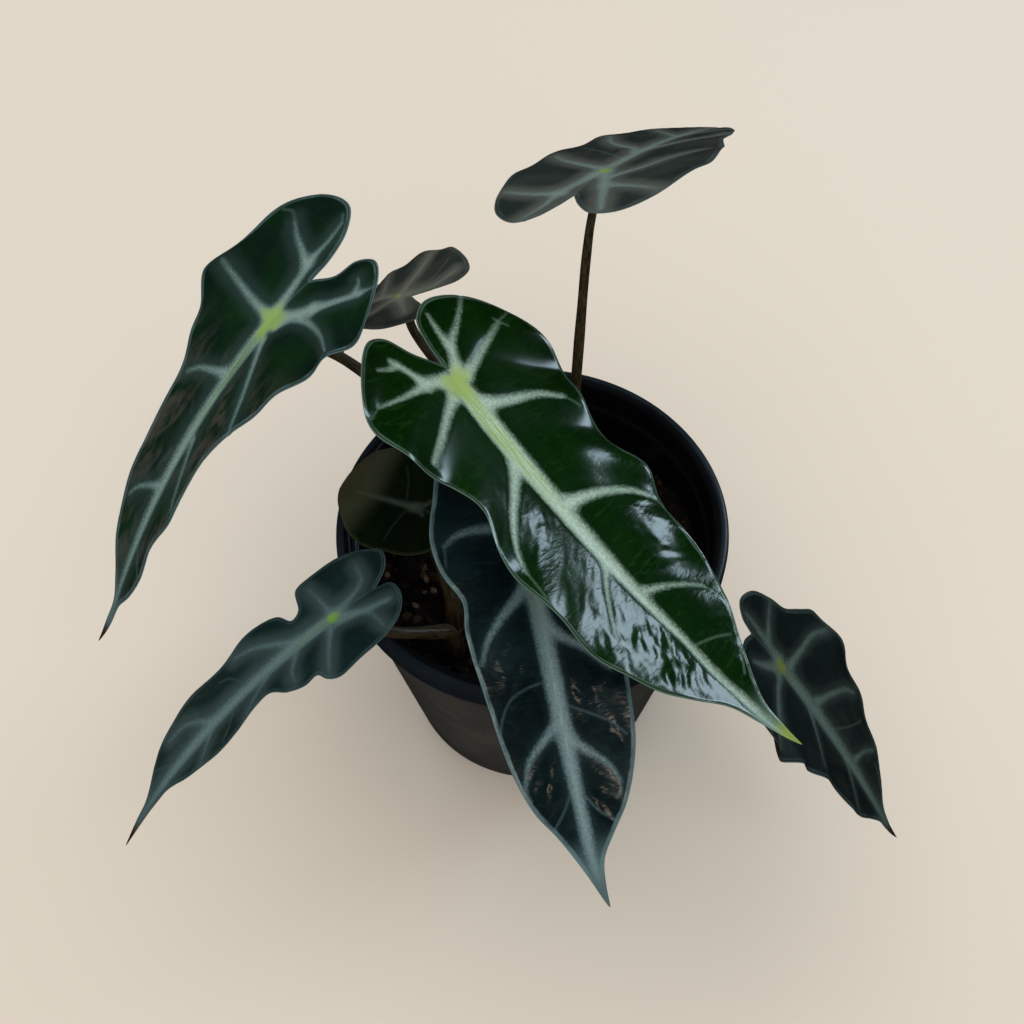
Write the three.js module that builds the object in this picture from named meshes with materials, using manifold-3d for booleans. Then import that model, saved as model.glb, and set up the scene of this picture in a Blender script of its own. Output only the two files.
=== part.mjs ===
// A small arrow-leaved house plant in a round plastic pot, in millimetres, +Z up.
// The origin is the middle of the pot's flat base. -Y is the front.
import * as THREE from "three";
import { mergeVertices } from "three/addons/utils/BufferGeometryUtils.js";
import Module from "manifold-3d";

const wasm = await Module();
wasm.setup();

// Driving dimensions of the pot and what fills it
const GAP = 0.3; // free space kept between neighbouring pieces
const POT_HEIGHT = 100;
const RIM_RADIUS = 60;
const BASE_RADIUS = 43;
const WALL = 2;
const FLOOR = 2.5;
const LIP_HEIGHT = 8; // outer band of the rolled rim
const LIP_OVERHANG = 2.6; // how far that band stands out from the wall
const LIP_WIDTH = 4.6; // flat top of the rim
const LEDGE_DEPTH = 9; // stacking ledge inside the rim, below its top
const LEDGE_WIDTH = 1.8;
const POT_SEGMENTS = 54;
const DRAIN_HOLE = { count: 5, radius: 4, ring: 30 };
const SOIL_TOP = 80;
const SOIL_SEGMENTS = 48;
const SOIL_RINGS = 9;
const SOIL_BUMP = 1.3;
const HOLE_SIDES = 16;

// Driving dimensions of the leaves
const BLADE_THICKNESS = 0.7;
const KEEL = { atHub: 1.3, atTip: 0.2, halfWidth: 1.9 }; // midrib ridge under a blade
const MARCH = 2.5; // step along a midrib
const RIPPLE_REACH = 25; // distance from the midrib at which a ripple has its full height
const RIPPLE_SLANT = 0.6; // ripples run outwards and forwards, as the side veins do
const LOBE_SWING_REACH = 30; // how far behind the hub the lobes' own sideways swing goes on
const BURIED = 22; // length of a petiole below the soil surface
const PETIOLE_SIDES = 9;
const PETIOLE_STEPS = 19;
const GENICULUM = 5; // bent joint between a petiole and its blade
const SHEATH_HEIGHT = 26; // widened petiole base above the soil

const MAIN_CROWN = { x: 6, y: 14, radius: 4.2, ring: 8.6 };
const FRONT_CROWN = { x: -18, y: -29, radius: 3, ring: 6.6 };
const CROWN_RISE = 7;

// Each leaf: where its petiole meets the blade (hub), where the midrib points from there
// (heading from +X, pitch up, roll about the midrib), how it bends per 100 mm (droop, sway,
// twist, droopGain for a droop that grows towards the tip), how the lobes behind the hub bend
// (lobeDroop, lobeSwing), how the two halves rise from the midrib (fold) and curl over 25 mm,
// the waves of its edge, how its drip tip turns aside (hook), and half outlines as
// [along midrib, across], from the bottom of the notch round the lobe to the tip.
const LEAVES = [
  {
    name: "front_large",
    look: "glossy",
    hub: [-18.7, -10, 179.2],
    heading: -50,
    pitch: -20,
    roll: -20.5,
    bend: { droop: -2.7, droopGain: 0, sway: 9, twist: 9, lobeDroop: 16, lobeSwing: -36 },
    fold: { left: 5, right: 12 },
    curl: { left: -7, right: 1 },
    ripple: { height: 0.9, length: 25, left: 40, right: 200 },
    hook: { length: 16, shift: 2 },
    stations: { lobe: 6, midrib: 26 },
    left: [
      [-6, 0], [-13, 0.8], [-19.5, 3.5], [-22.3, 10], [-19.5, 20], [-13, 28], [-2, 33], [10, 33.5],
      [24, 28.3], [34, 28], [45, 30], [56, 26.5], [66, 24], [77, 22.5], [88, 17], [99, 10],
      [109, 4], [117, 1.8], [124, 0],
    ],
    right: [
      [-6, 0], [-12, -6.5], [-19, -11], [-20.3, -17], [-15, -26], [-6, -33.5], [4, -36],
      [14, -33], [23, -25.5], [31, -23.5], [40, -27.3], [50, -28], [63, -26.3], [75, -25],
      [86, -19.5], [96, -12], [104, -5], [113, -1.8], [124, 0],
    ],
    petiole: {
      crown: MAIN_CROWN, angle: 235, baseRadius: 3.4, stemRadius: 2.2, topRadius: 1.9,
      via: [[4, 9, 110], [-4, 5, 142], [-16, -3, 164]],
    },
  },
  {
    name: "upper_left",
    look: "dusty",
    hub: [-70.8, 19.5, 168.6],
    heading: -135,
    pitch: -24.6,
    roll: 15.2,
    bend: { droop: 29.5, droopGain: 0, sway: 1.7, twist: -11.6, lobeDroop: 29, lobeSwing: 51 },
    fold: { left: 11, right: 6.5 },
    curl: { left: -0.5, right: -7.3 },
    ripple: { height: 0.8, length: 23, left: 120, right: 30 },
    hook: { length: 16, shift: -3 },
    stations: { lobe: 7, midrib: 24 },
    left: [
      [-16, 0], [-22, 6.5], [-29, 6.5], [-33.3, 11], [-31.5, 22], [-25, 32], [-14, 36.7],
      [-4, 36], [7, 29.7], [19, 22.7], [29, 17], [39, 12], [52, 11.2], [60, 10.7], [70, 7.5],
      [79, 8], [87, 5.5], [93, 1.8], [100, 1], [108, 0],
    ],
    right: [
      [-16, 0], [-23, -1.6], [-30, -6], [-35, -14], [-33, -21.5], [-25, -29], [-15, -33.5],
      [-3, -36], [5, -31.7], [13, -24], [22, -18.5], [34, -15], [48, -14], [62, -11.8],
      [74, -8.3], [84, -3.6], [91, -1.2], [100, -0.9], [108, 0],
    ],
    petiole: {
      crown: MAIN_CROWN, angle: 170, baseRadius: 3.1, stemRadius: 1.9, topRadius: 1.5,
      via: [[-7, 15, 98], [-24, 19, 118], [-47, 23, 141], [-55, 22.5, 151]],
    },
  },
  {
    name: "small_back",
    look: "dusty",
    hub: [-39.3, 46, 149.8],
    heading: 136,
    pitch: -39,
    roll: -3,
    bend: { droop: 54, droopGain: 0, sway: 1, twist: 0, lobeDroop: 35, lobeSwing: 0 },
    fold: { left: 7, right: 12.5 },
    curl: { left: -3, right: -3 },
    ripple: { height: 1, length: 19, left: 60, right: 150 },
    hook: { length: 12, shift: 0 },
    stations: { lobe: 5, midrib: 16 },
    left: [
      [-7.5, 0], [-12, 1.7], [-19, 4.2], [-24, 7.3], [-25, 11], [-21, 14.6], [-14, 17.6],
      [-6, 19.2], [2, 19], [10, 16.6], [19, 14], [29, 13.4], [40, 12], [51, 9], [60, 5],
      [66, 2], [73, 0],
    ],
    right: [
      [-7.5, 0], [-12, -1.7], [-19, -4.2], [-24, -7.3], [-25, -11], [-21, -14.6], [-14, -17.6],
      [-6, -19.2], [2, -19], [10, -16.6], [19, -14], [29, -13.4], [40, -12], [51, -9], [60, -5],
      [66, -2], [73, 0],
    ],
    petiole: {
      crown: MAIN_CROWN, angle: 115, baseRadius: 2.8, stemRadius: 1.6, topRadius: 1.25,
      via: [[-2, 24, 97], [-17, 32, 114], [-30, 40, 128], [-36, 43.5, 139]],
    },
  },
  {
    name: "tall",
    look: "dusty",
    hub: [18, 32.2, 210.8],
    heading: 58,
    pitch: -22,
    roll: -26,
    bend: { droop: 15, droopGain: 0, sway: 5, twist: 5.5, lobeDroop: 57, lobeSwing: 0 },
    fold: { left: 4.5, right: 1 },
    curl: { left: -3, right: -3 },
    ripple: { height: 0.4, length: 24, left: 10, right: 100 },
    hook: { length: 14, shift: 2.5 },
    stations: { lobe: 6, midrib: 20 },
    left: [
      [-17, 0], [-22, 1.8], [-27.5, 5.5], [-29.8, 10.5], [-26.5, 16.5], [-18, 21.5], [-8, 24],
      [3, 25.8], [14, 26], [24, 24], [33, 22.7], [43, 22.5], [54, 19], [66, 11.5], [75, 5.5],
      [80, 2], [86, 0],
    ],
    right: [
      [-17, 0], [-22.5, -4], [-26.5, -9], [-26, -16], [-20, -22], [-10, -26], [0, -27],
      [10, -26], [21, -23], [33, -18], [45, -15.5], [57, -12], [67, -7.8], [76, -4],
      [80, -2], [86, 0],
    ],
    petiole: {
      crown: MAIN_CROWN, angle: 50, baseRadius: 3.3, stemRadius: 1.85, topRadius: 1.05,
      via: [
        [12, 23.5, 105], [12.6, 24, 135], [13.3, 24.3, 165], [14, 25, 188], [14.9, 26.4, 200],
        [15.9, 27.6, 204.5],
      ],
    },
  },
  {
    name: "lower_left",
    look: "dusty",
    hub: [-54.5, -45.3, 121.2],
    heading: -146,
    pitch: -14,
    roll: 15,
    bend: { droop: 34.5, droopGain: 0, sway: 2.7, twist: -1.9, lobeDroop: 9, lobeSwing: 0 },
    fold: { left: 13, right: 7 },
    curl: { left: -3.3, right: -5 },
    ripple: { height: 1.2, length: 20, left: 0, right: 120 },
    hook: { length: 16, shift: 0 },
    stations: { lobe: 6, midrib: 26 },
    left: [
      [-14, 0], [-18, 1.5], [-19, 8], [-16, 15], [-9, 20], [0, 22.8], [6, 22], [9.3, 19.5],
      [11, 16.4], [15, 17], [20, 13.5], [25, 8.3], [30, 8.5], [38, 10.5], [47, 10.8], [57, 7.5],
      [66, 3], [74, 1.3], [89, 0],
    ],
    right: [
      [-14, 0], [-19.5, -4.2], [-21.3, -9.5], [-18, -13], [-9, -16.4], [0, -17.3], [4.5, -15.5],
      [7, -9], [10, -8], [13, -12.5], [20, -14.8], [32, -12.4], [46, -12.6], [57, -11],
      [66, -6.8], [74, -2.2], [81, -1.1], [89, 0],
    ],
    petiole: {
      crown: FRONT_CROWN, angle: 222, baseRadius: 2.7, stemRadius: 1.75, topRadius: 1.5,
      via: [[-24.5, -34, 91], [-30, -37, 97], [-37, -40.3, 103], [-44, -43, 110]],
    },
  },
  {
    name: "front_low",
    look: "bluish",
    hub: [-3, -35, 150.7],
    heading: -78,
    pitch: -19.3,
    roll: -5.3,
    bend: { droop: 9.2, droopGain: 0, sway: 3, twist: 3.4, lobeDroop: 34, lobeSwing: 20 },
    fold: { left: 9, right: 14 },
    curl: { left: -3, right: -0.5 },
    ripple: { height: 0.8, length: 24, left: 90, right: 250 },
    hook: { length: 16, shift: 2 },
    stations: { lobe: 6, midrib: 22 },
    left: [
      [-8, 0], [-15, 2.5], [-22, 6.5], [-25, 13], [-20, 20.5], [-11, 25], [0, 26], [10, 24.5],
      [20, 21.3], [32, 19.5], [44, 19], [56, 17.7], [65, 15.5], [73, 12], [80, 7], [86, 3],
      [92, 1.3], [98, 0],
    ],
    right: [
      [-8, 0], [-15, -2.5], [-22, -6.5], [-25, -13], [-19.5, -19], [-9, -22.5], [1, -25.3],
      [9, -24], [17, -19.7], [25, -20.5], [38, -19], [51, -17.4], [63, -15], [71, -12],
      [78, -7.5], [85, -3.8], [92, -1.3], [98, 0],
    ],
    petiole: {
      crown: FRONT_CROWN, angle: 5, baseRadius: 2.9, stemRadius: 2.0, topRadius: 1.7,
      via: [[-9.5, -29, 100], [-7, -29.5, 122], [-4, -31, 138]],
    },
  },
  {
    name: "lower_right",
    look: "dusty",
    hub: [67.4, -57.9, 116.5],
    heading: -28,
    pitch: -49,
    roll: -13,
    bend: { droop: 7.4, droopGain: 0, sway: -8, twist: 6.5, lobeDroop: 13, lobeSwing: -20 },
    fold: { left: 12, right: 14 },
    curl: { left: -3, right: -1.5 },
    ripple: { height: 1.2, length: 20, left: 30, right: 180 },
    hook: { length: 13, shift: 2 },
    stations: { lobe: 6, midrib: 19 },
    left: [
      [-15, 0], [-20.5, 1.6], [-23.4, 5], [-20.5, 10], [-14, 12.6], [-8, 13.7], [-3, 17.5],
      [3, 22.3], [11, 24], [20, 22.2], [30, 18.6], [40, 15], [50, 11.5], [58, 7.5], [65, 2.7],
      [71, 1.2], [79, 0],
    ],
    right: [
      [-15, 0], [-19, -6], [-20.5, -14], [-16.5, -23], [-8, -30.3], [1, -31], [10, -26],
      [20, -21.6], [32, -16.7], [43, -15.6], [52, -12], [60, -6.5], [67, -2.2], [73, -1],
      [79, 0],
    ],
    petiole: {
      crown: MAIN_CROWN, angle: -25, baseRadius: 3, stemRadius: 1.75, topRadius: 1.4,
      via: [[17, 6, 100], [30, -14, 112], [46, -36, 113.5], [56, -48, 111.5]],
    },
  },
  {
    name: "inside_rim",
    look: "glossy",
    hub: [-35.5, -3, 112],
    heading: 151,
    pitch: -17,
    roll: -4,
    bend: { droop: 14, droopGain: 0, sway: 0, twist: 0, lobeDroop: 20, lobeSwing: 0 },
    fold: { left: 8, right: 8 },
    curl: { left: -4, right: -4 },
    ripple: { height: 0.8, length: 17, left: 0, right: 90 },
    hook: { length: 6, shift: 0 },
    stations: { lobe: 5, midrib: 9 },
    left: [
      [-6, 0], [-11.5, 2], [-15.5, 7], [-14, 13], [-8, 16.7], [0, 17.7], [8, 17.3], [15, 14.3],
      [21, 9.5], [26, 4.5], [29, 0],
    ],
    right: [
      [-6, 0], [-11.5, -2], [-15.5, -7], [-14, -13], [-8, -16.7], [0, -18.4], [10, -18.6],
      [18, -17.5], [24, -13.5], [27.5, -7.5], [29, 0],
    ],
    petiole: {
      crown: FRONT_CROWN, angle: 148, baseRadius: 2.6, stemRadius: 1.6, topRadius: 1.3,
      via: [[-24.8, -22, 95], [-29, -14, 104]],
    },
  },
];

// Colours, roughness and metalness of the sub-parts
const MATERIALS = {
  pot: { color: 0x23262b, roughness: 0.45 },
  soil: { color: 0x1c1712, roughness: 0.95 },
  rhizome: { color: 0x4a3a26, roughness: 0.85 },
  petiole: { color: 0x3b3a26, roughness: 0.55 },
  glossy: { color: 0x0d2a14, roughness: 0.2 },
  bluish: { color: 0x15262a, roughness: 0.4 },
  dusty: { color: 0x24332f, roughness: 0.5 },
};

const radians = THREE.MathUtils.degToRad;
const plant = new THREE.Group();

function addMesh(name, geometry, look) {
  const material = new THREE.MeshStandardMaterial({ metalness: 0, ...MATERIALS[look] });
  const mesh = new THREE.Mesh(geometry, material);
  mesh.name = name;
  plant.add(mesh);
}

// Solids for cutting and joining

function solidFrom(geometry) {
  const bare = geometry.clone();
  bare.deleteAttribute("normal");
  bare.deleteAttribute("uv");
  const merged = mergeVertices(bare, 1e-4);
  return new wasm.Manifold(
    new wasm.Mesh({
      numProp: 3,
      vertProperties: merged.attributes.position.array,
      triVerts: new Uint32Array(merged.index.array),
    }),
  );
}

function geometryFrom(solid) {
  const mesh = solid.getMesh();
  const geometry = new THREE.BufferGeometry();
  geometry.setAttribute("position", new THREE.BufferAttribute(mesh.vertProperties, 3));
  geometry.setIndex(new THREE.BufferAttribute(mesh.triVerts, 1));
  return geometry;
}

// A closed body from corner points and triangles of point numbers
function bodyFrom(points, triangles) {
  const geometry = new THREE.BufferGeometry();
  geometry.setAttribute(
    "position",
    new THREE.Float32BufferAttribute(points.flatMap((point) => point.toArray()), 3),
  );
  geometry.setIndex(triangles.flat());
  return geometry;
}

// Turns a profile of [radius, height] pairs about +Z
function turned(profile, segments) {
  const points = profile.map(([radius, height]) => new THREE.Vector2(radius, height));
  return new THREE.LatheGeometry(points, segments).rotateX(Math.PI / 2);
}

function uprightCylinder(x, y, radius, bottom, top) {
  const height = top - bottom;
  return new THREE.CylinderGeometry(radius, radius, height, HOLE_SIDES)
    .rotateX(Math.PI / 2)
    .translate(x, y, bottom + height / 2);
}

// Pot

const wallTopRadius = RIM_RADIUS - LIP_OVERHANG;
const lipBottom = POT_HEIGHT - LIP_HEIGHT;

function outerWallRadius(z) {
  return THREE.MathUtils.mapLinear(z, 0, lipBottom, BASE_RADIUS, wallTopRadius);
}

function innerWallRadius(z) {
  return outerWallRadius(z) - WALL;
}

function makePot() {
  const rimInner = RIM_RADIUS - LIP_WIDTH;
  const ledgeTop = POT_HEIGHT - LEDGE_DEPTH;
  const profile = [
    [0, 0],
    [BASE_RADIUS - 2, 0],
    [BASE_RADIUS - 0.3, 1],
    [outerWallRadius(3), 3],
    [outerWallRadius(lipBottom / 2), lipBottom / 2],
    [outerWallRadius(lipBottom), lipBottom],
    [RIM_RADIUS - 0.8, lipBottom],
    [RIM_RADIUS, lipBottom + 1.2],
    [RIM_RADIUS, POT_HEIGHT - 1.4],
    [RIM_RADIUS - 0.9, POT_HEIGHT - 0.2],
    [RIM_RADIUS - 2, POT_HEIGHT],
    [rimInner + 1.2, POT_HEIGHT],
    [rimInner + 0.2, POT_HEIGHT - 0.6],
    [rimInner, POT_HEIGHT - 2],
    [rimInner - 0.3, ledgeTop],
    [rimInner - LEDGE_WIDTH, ledgeTop - 1],
    [innerWallRadius(ledgeTop - 6), ledgeTop - 6],
    [innerWallRadius(FLOOR + 3), FLOOR + 3],
    [innerWallRadius(FLOOR) - 1.5, FLOOR],
    [0, FLOOR],
  ];
  let pot = solidFrom(turned(profile, POT_SEGMENTS));
  for (let i = 0; i < DRAIN_HOLE.count; i += 1) {
    const turn = (2 * Math.PI * (i + 0.5)) / DRAIN_HOLE.count;
    const x = DRAIN_HOLE.ring * Math.cos(turn);
    const y = DRAIN_HOLE.ring * Math.sin(turn);
    const hole = uprightCylinder(x, y, DRAIN_HOLE.radius, -1, FLOOR + 1);
    pot = pot.subtract(solidFrom(hole));
  }
  addMesh("pot", geometryFrom(pot), "pot");
}

// Petioles and rhizomes stand in plain holes in the soil

function footOf(petiole) {
  const turn = radians(petiole.angle);
  const { x, y, ring } = petiole.crown;
  return [x + ring * Math.cos(turn), y + ring * Math.sin(turn)];
}

function soilHeight(x, y) {
  const wave = Math.sin(x * 0.31 + 1.3) * Math.cos(y * 0.27 - 0.6) + Math.sin(x * 0.13 + y * 0.19);
  const radius = Math.hypot(x, y);
  return SOIL_TOP + SOIL_BUMP * 0.5 * wave - 0.0009 * radius * radius;
}

function makeSoil() {
  const bottom = FLOOR + GAP;
  const bottomRadius = innerWallRadius(FLOOR) - 1.5 - GAP;
  const edgeRadius = innerWallRadius(SOIL_TOP - 3) - GAP;
  const profile = [
    [0, bottom],
    [bottomRadius, bottom],
    [innerWallRadius(FLOOR + 3) - GAP, bottom + 3],
    [edgeRadius, SOIL_TOP - 3],
  ];
  for (let ring = SOIL_RINGS - 1; ring >= 0; ring -= 1) {
    profile.push([(edgeRadius * ring) / SOIL_RINGS, SOIL_TOP]);
  }
  const geometry = turned(profile, SOIL_SEGMENTS);
  const position = geometry.attributes.position;
  for (let i = 0; i < position.count; i += 1) {
    if (position.getZ(i) > SOIL_TOP - 0.5) {
      position.setZ(i, soilHeight(position.getX(i), position.getY(i)));
    }
  }
  let soil = solidFrom(geometry);
  const holeBottom = SOIL_TOP - BURIED - GAP;
  for (const { petiole } of LEAVES) {
    const [x, y] = footOf(petiole);
    const hole = uprightCylinder(x, y, petiole.baseRadius + 0.45, holeBottom, SOIL_TOP + 5);
    soil = soil.subtract(solidFrom(hole));
  }
  for (const crown of [MAIN_CROWN, FRONT_CROWN]) {
    const hole = uprightCylinder(crown.x, crown.y, crown.radius + GAP, holeBottom, SOIL_TOP + 5);
    soil = soil.subtract(solidFrom(hole));
  }
  addMesh("soil", geometryFrom(soil), "soil");
}

// A rhizome is a short stub with leaf scars as rings
function makeRhizome(name, crown) {
  const bottom = SOIL_TOP - BURIED;
  const top = SOIL_TOP + CROWN_RISE;
  const { radius } = crown;
  const profile = [
    [0, bottom],
    [radius * 0.6, bottom],
    [radius * 0.9, bottom + 4],
    [radius, SOIL_TOP - 2],
    [radius * 0.86, SOIL_TOP],
    [radius * 0.97, SOIL_TOP + 1.5],
    [radius * 0.8, SOIL_TOP + 3],
    [radius * 0.86, SOIL_TOP + 4.3],
    [radius * 0.55, top - 0.8],
    [0, top],
  ];
  addMesh(name, turned(profile, 20).translate(crown.x, crown.y, 0), "rhizome");
}

// Blade surface

// Walks from the hub along the midrib and returns the frame at each step:
// its place and the directions along, across (to the left) and out of the upper face.
function walkMidrib(leaf, direction, length) {
  const heading = radians(leaf.heading);
  const pitch = radians(leaf.pitch);
  const along = new THREE.Vector3(
    Math.cos(heading) * Math.cos(pitch),
    Math.sin(heading) * Math.cos(pitch),
    Math.sin(pitch),
  );
  const across = new THREE.Vector3(-Math.sin(heading), Math.cos(heading), 0);
  across.applyAxisAngle(along, radians(leaf.roll));
  const up = along.clone().cross(across);
  const place = new THREE.Vector3(...leaf.hub);
  const copyFrame = () => ({
    place: place.clone(),
    along: along.clone(),
    across: across.clone(),
    up: up.clone(),
  });
  const frames = [copyFrame()];
  const steps = Math.ceil(length / MARCH);
  const { bend } = leaf;
  for (let i = 0; i < steps; i += 1) {
    const middle = (i + 0.5) * MARCH;
    const ahead = direction > 0;
    const droopRate = ahead ? bend.droop * (1 + (bend.droopGain * middle) / 100) : bend.lobeDroop;
    const lobeSwing = middle < LOBE_SWING_REACH ? bend.lobeSwing : 0;
    const swayRate = ahead ? bend.sway : lobeSwing;
    const twistRate = ahead ? bend.twist : 0;
    const half = (radians(1) * MARCH * direction) / 200;
    for (const part of [0, 1]) {
      for (const arrow of [along, up]) arrow.applyAxisAngle(across, droopRate * half);
      for (const arrow of [along, across]) arrow.applyAxisAngle(up, swayRate * half);
      for (const arrow of [across, up]) arrow.applyAxisAngle(along, twistRate * half);
      if (part === 0) place.addScaledVector(along, MARCH * direction);
    }
    frames.push(copyFrame());
  }
  return frames;
}

// Returns the function that maps [along midrib, across] to a point of the upper face
function bladeSurface(leaf) {
  const reach = (outline, pick) => pick(...outline.map(([u]) => u));
  const back = -Math.min(reach(leaf.left, Math.min), reach(leaf.right, Math.min)) + 3 * MARCH;
  const front = reach(leaf.left, Math.max) + 3 * MARCH;
  const behind = walkMidrib(leaf, -1, back).slice(1).reverse();
  const frames = [...behind, ...walkMidrib(leaf, 1, front)];
  const hookStart = reach(leaf.left, Math.max) - leaf.hook.length;
  return (u, v) => {
    const position = u / MARCH + behind.length;
    const index = THREE.MathUtils.clamp(Math.floor(position), 0, frames.length - 2);
    const from = frames[index];
    const to = frames[index + 1];
    const share = position - index;
    const across = from.across.clone().lerp(to.across, share);
    const up = from.up.clone().lerp(to.up, share);
    const side = v >= 0 ? "left" : "right";
    const distance = Math.abs(v);
    const fold = radians(leaf.fold[side]);
    const curl = radians(leaf.curl[side]) / 25;
    const outward = (Math.sin(fold + curl * distance) - Math.sin(fold)) / curl;
    const upward = (Math.cos(fold) - Math.cos(fold + curl * distance)) / curl;
    const { ripple } = leaf;
    const slanted = u - RIPPLE_SLANT * distance;
    const wave = Math.sin((2 * Math.PI * slanted) / ripple.length + radians(ripple[side]));
    const lift = upward + ripple.height * wave * (distance / RIPPLE_REACH) ** 2;
    const hooked = Math.max(u - hookStart, 0) / leaf.hook.length;
    const sideways = Math.sign(v) * outward + leaf.hook.shift * hooked ** 2;
    return from.place
      .clone()
      .lerp(to.place, share)
      .addScaledVector(across, sideways)
      .addScaledVector(up, lift);
  };
}

function surfaceNormal(surface, u, v) {
  const reach = 0.5;
  const alongEdge = surface(u + reach, v).sub(surface(u - reach, v));
  const acrossEdge = surface(u, v + reach).sub(surface(u, v - reach));
  return alongEdge.cross(acrossEdge).normalize();
}

// Blade mesh: each half is a strip between its inner edge (notch, then midrib) and its margin

function smoothOutline(points) {
  const corners = points.map(([u, v]) => new THREE.Vector3(u, v, 0));
  return new THREE.CatmullRomCurve3(corners, false, "centripetal");
}

// Splits a half outline at the back of its lobe into the notch edge and the margin
function splitAtLobe(points) {
  const samples = smoothOutline(points).getSpacedPoints(400);
  let back = 0;
  samples.forEach((sample, i) => {
    if (sample.x < samples[back].x) back = i;
  });
  return { notch: samples.slice(0, back + 1).reverse(), margin: samples.slice(back) };
}

function pointAlong(samples, share) {
  const position = share * (samples.length - 1);
  const index = Math.min(Math.floor(position), samples.length - 2);
  return samples[index].clone().lerp(samples[index + 1], position - index);
}

function pathLength(samples) {
  let length = 0;
  for (let i = 1; i < samples.length; i += 1) length += samples[i].distanceTo(samples[i - 1]);
  return length;
}

// Rows of [u, v] points across one half, from the back of the lobe to the tip
function halfBladeRows(points, stations) {
  const { notch, margin } = splitAtLobe(points);
  const notchLength = pathLength(notch);
  const bottom = notch[notch.length - 1];
  const tip = margin[margin.length - 1];
  const innerLength = notchLength + bottom.distanceTo(tip);
  const rows = [];
  const count = stations.lobe + stations.midrib;
  for (let i = 0; i <= count; i += 1) {
    const onNotch = i <= stations.lobe;
    const notchShare = Math.min(i / stations.lobe, 1);
    const midribShare = Math.max(i - stations.lobe, 0) / stations.midrib;
    const inner = onNotch ? pointAlong(notch, notchShare) : bottom.clone().lerp(tip, midribShare);
    const travelled = notchLength * notchShare + bottom.distanceTo(tip) * midribShare;
    const outer = pointAlong(margin, travelled / innerLength);
    const width = inner.distanceTo(outer);
    const keelShare = Math.min(0.3, KEEL.halfWidth / Math.max(width, 1e-6));
    const shares = [0, keelShare, 0.45, 0.75, 1];
    rows.push(shares.map((share) => inner.clone().lerp(outer, share)));
  }
  return rows;
}

function makeBlade(leaf) {
  const surface = bladeSurface(leaf);
  const length = leaf.left[leaf.left.length - 1][0];
  const tops = [];
  const bottoms = [];
  const numbers = new Map();
  function cornerAt(point, onMidrib) {
    const key = `${point.x.toFixed(3)},${point.y.toFixed(3)}`;
    if (!numbers.has(key)) {
      const normal = surfaceNormal(surface, point.x, point.y);
      const top = surface(point.x, point.y);
      const along = THREE.MathUtils.clamp(point.x / length, 0, 1);
      const keel = onMidrib ? THREE.MathUtils.lerp(KEEL.atHub, KEEL.atTip, along) : 0;
      numbers.set(key, tops.length);
      tops.push(top);
      bottoms.push(top.clone().addScaledVector(normal, -BLADE_THICKNESS - keel));
    }
    return numbers.get(key);
  }
  const faces = [];
  for (const side of ["left", "right"]) {
    const rows = halfBladeRows(leaf[side], leaf.stations);
    const lobe = leaf.stations.lobe;
    const grid = rows.map((row, i) => row.map((point, j) => cornerAt(point, j === 0 && i >= lobe)));
    for (let i = 0; i + 1 < grid.length; i += 1) {
      for (let j = 0; j + 1 < grid[i].length; j += 1) {
        const corners = [grid[i][j], grid[i + 1][j], grid[i + 1][j + 1], grid[i][j + 1]];
        const ordered = side === "left" ? corners : corners.reverse();
        const cuts = side === "left" ? [[0, 1, 2], [0, 2, 3]] : [[0, 1, 3], [1, 2, 3]];
        for (const cut of cuts) {
          const face = cut.map((corner) => ordered[corner]);
          if (new Set(face).size === 3) faces.push(face);
        }
      }
    }
  }
  addMesh(`blade_${leaf.name}`, sheetBody(tops, bottoms, faces), leaf.look);
}

// Closes an upper and a lower sheet of like triangles with walls along the open edges
function sheetBody(tops, bottoms, faces) {
  const below = tops.length;
  const triangles = [];
  const edges = new Set();
  for (const [a, b, c] of faces) {
    triangles.push([a, b, c], [c + below, b + below, a + below]);
    edges.add(`${a},${b}`).add(`${b},${c}`).add(`${c},${a}`);
  }
  for (const edge of edges) {
    const [from, to] = edge.split(",").map(Number);
    if (edges.has(`${to},${from}`)) continue;
    triangles.push([to, from, from + below], [to, from + below, to + below]);
  }
  return bodyFrom([...tops, ...bottoms], triangles);
}

// Petioles: tapered rods from a hole in the soil to the underside of a hub

function petiolePath(leaf) {
  const surface = bladeSurface(leaf);
  const normal = surfaceNormal(surface, 0, 0);
  const hub = surface(0, 0);
  const [x, y] = footOf(leaf.petiole);
  const end = hub.clone().addScaledVector(normal, -BLADE_THICKNESS - KEEL.atHub - GAP);
  const corners = [
    new THREE.Vector3(x, y, SOIL_TOP - BURIED),
    new THREE.Vector3(x, y, SOIL_TOP - BURIED / 2),
    new THREE.Vector3(x, y, SOIL_TOP + 1),
    ...leaf.petiole.via.map((point) => new THREE.Vector3(...point)),
    hub.clone().addScaledVector(normal, -GENICULUM),
    end,
  ];
  return new THREE.CatmullRomCurve3(corners, false, "centripetal");
}

// Wide in the sheath, then tapering evenly from the stem's own radius to the one under the hub
function petioleRadius(leaf, height) {
  const { baseRadius, stemRadius, topRadius } = leaf.petiole;
  const sheathTop = SOIL_TOP + SHEATH_HEIGHT;
  const sheathShare = THREE.MathUtils.smoothstep(height, SOIL_TOP + 1, sheathTop);
  const rise = THREE.MathUtils.clamp((height - sheathTop) / (leaf.hub[2] - sheathTop), 0, 1);
  const slender = THREE.MathUtils.lerp(stemRadius, topRadius, rise);
  return THREE.MathUtils.lerp(baseRadius, slender, sheathShare);
}

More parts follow.
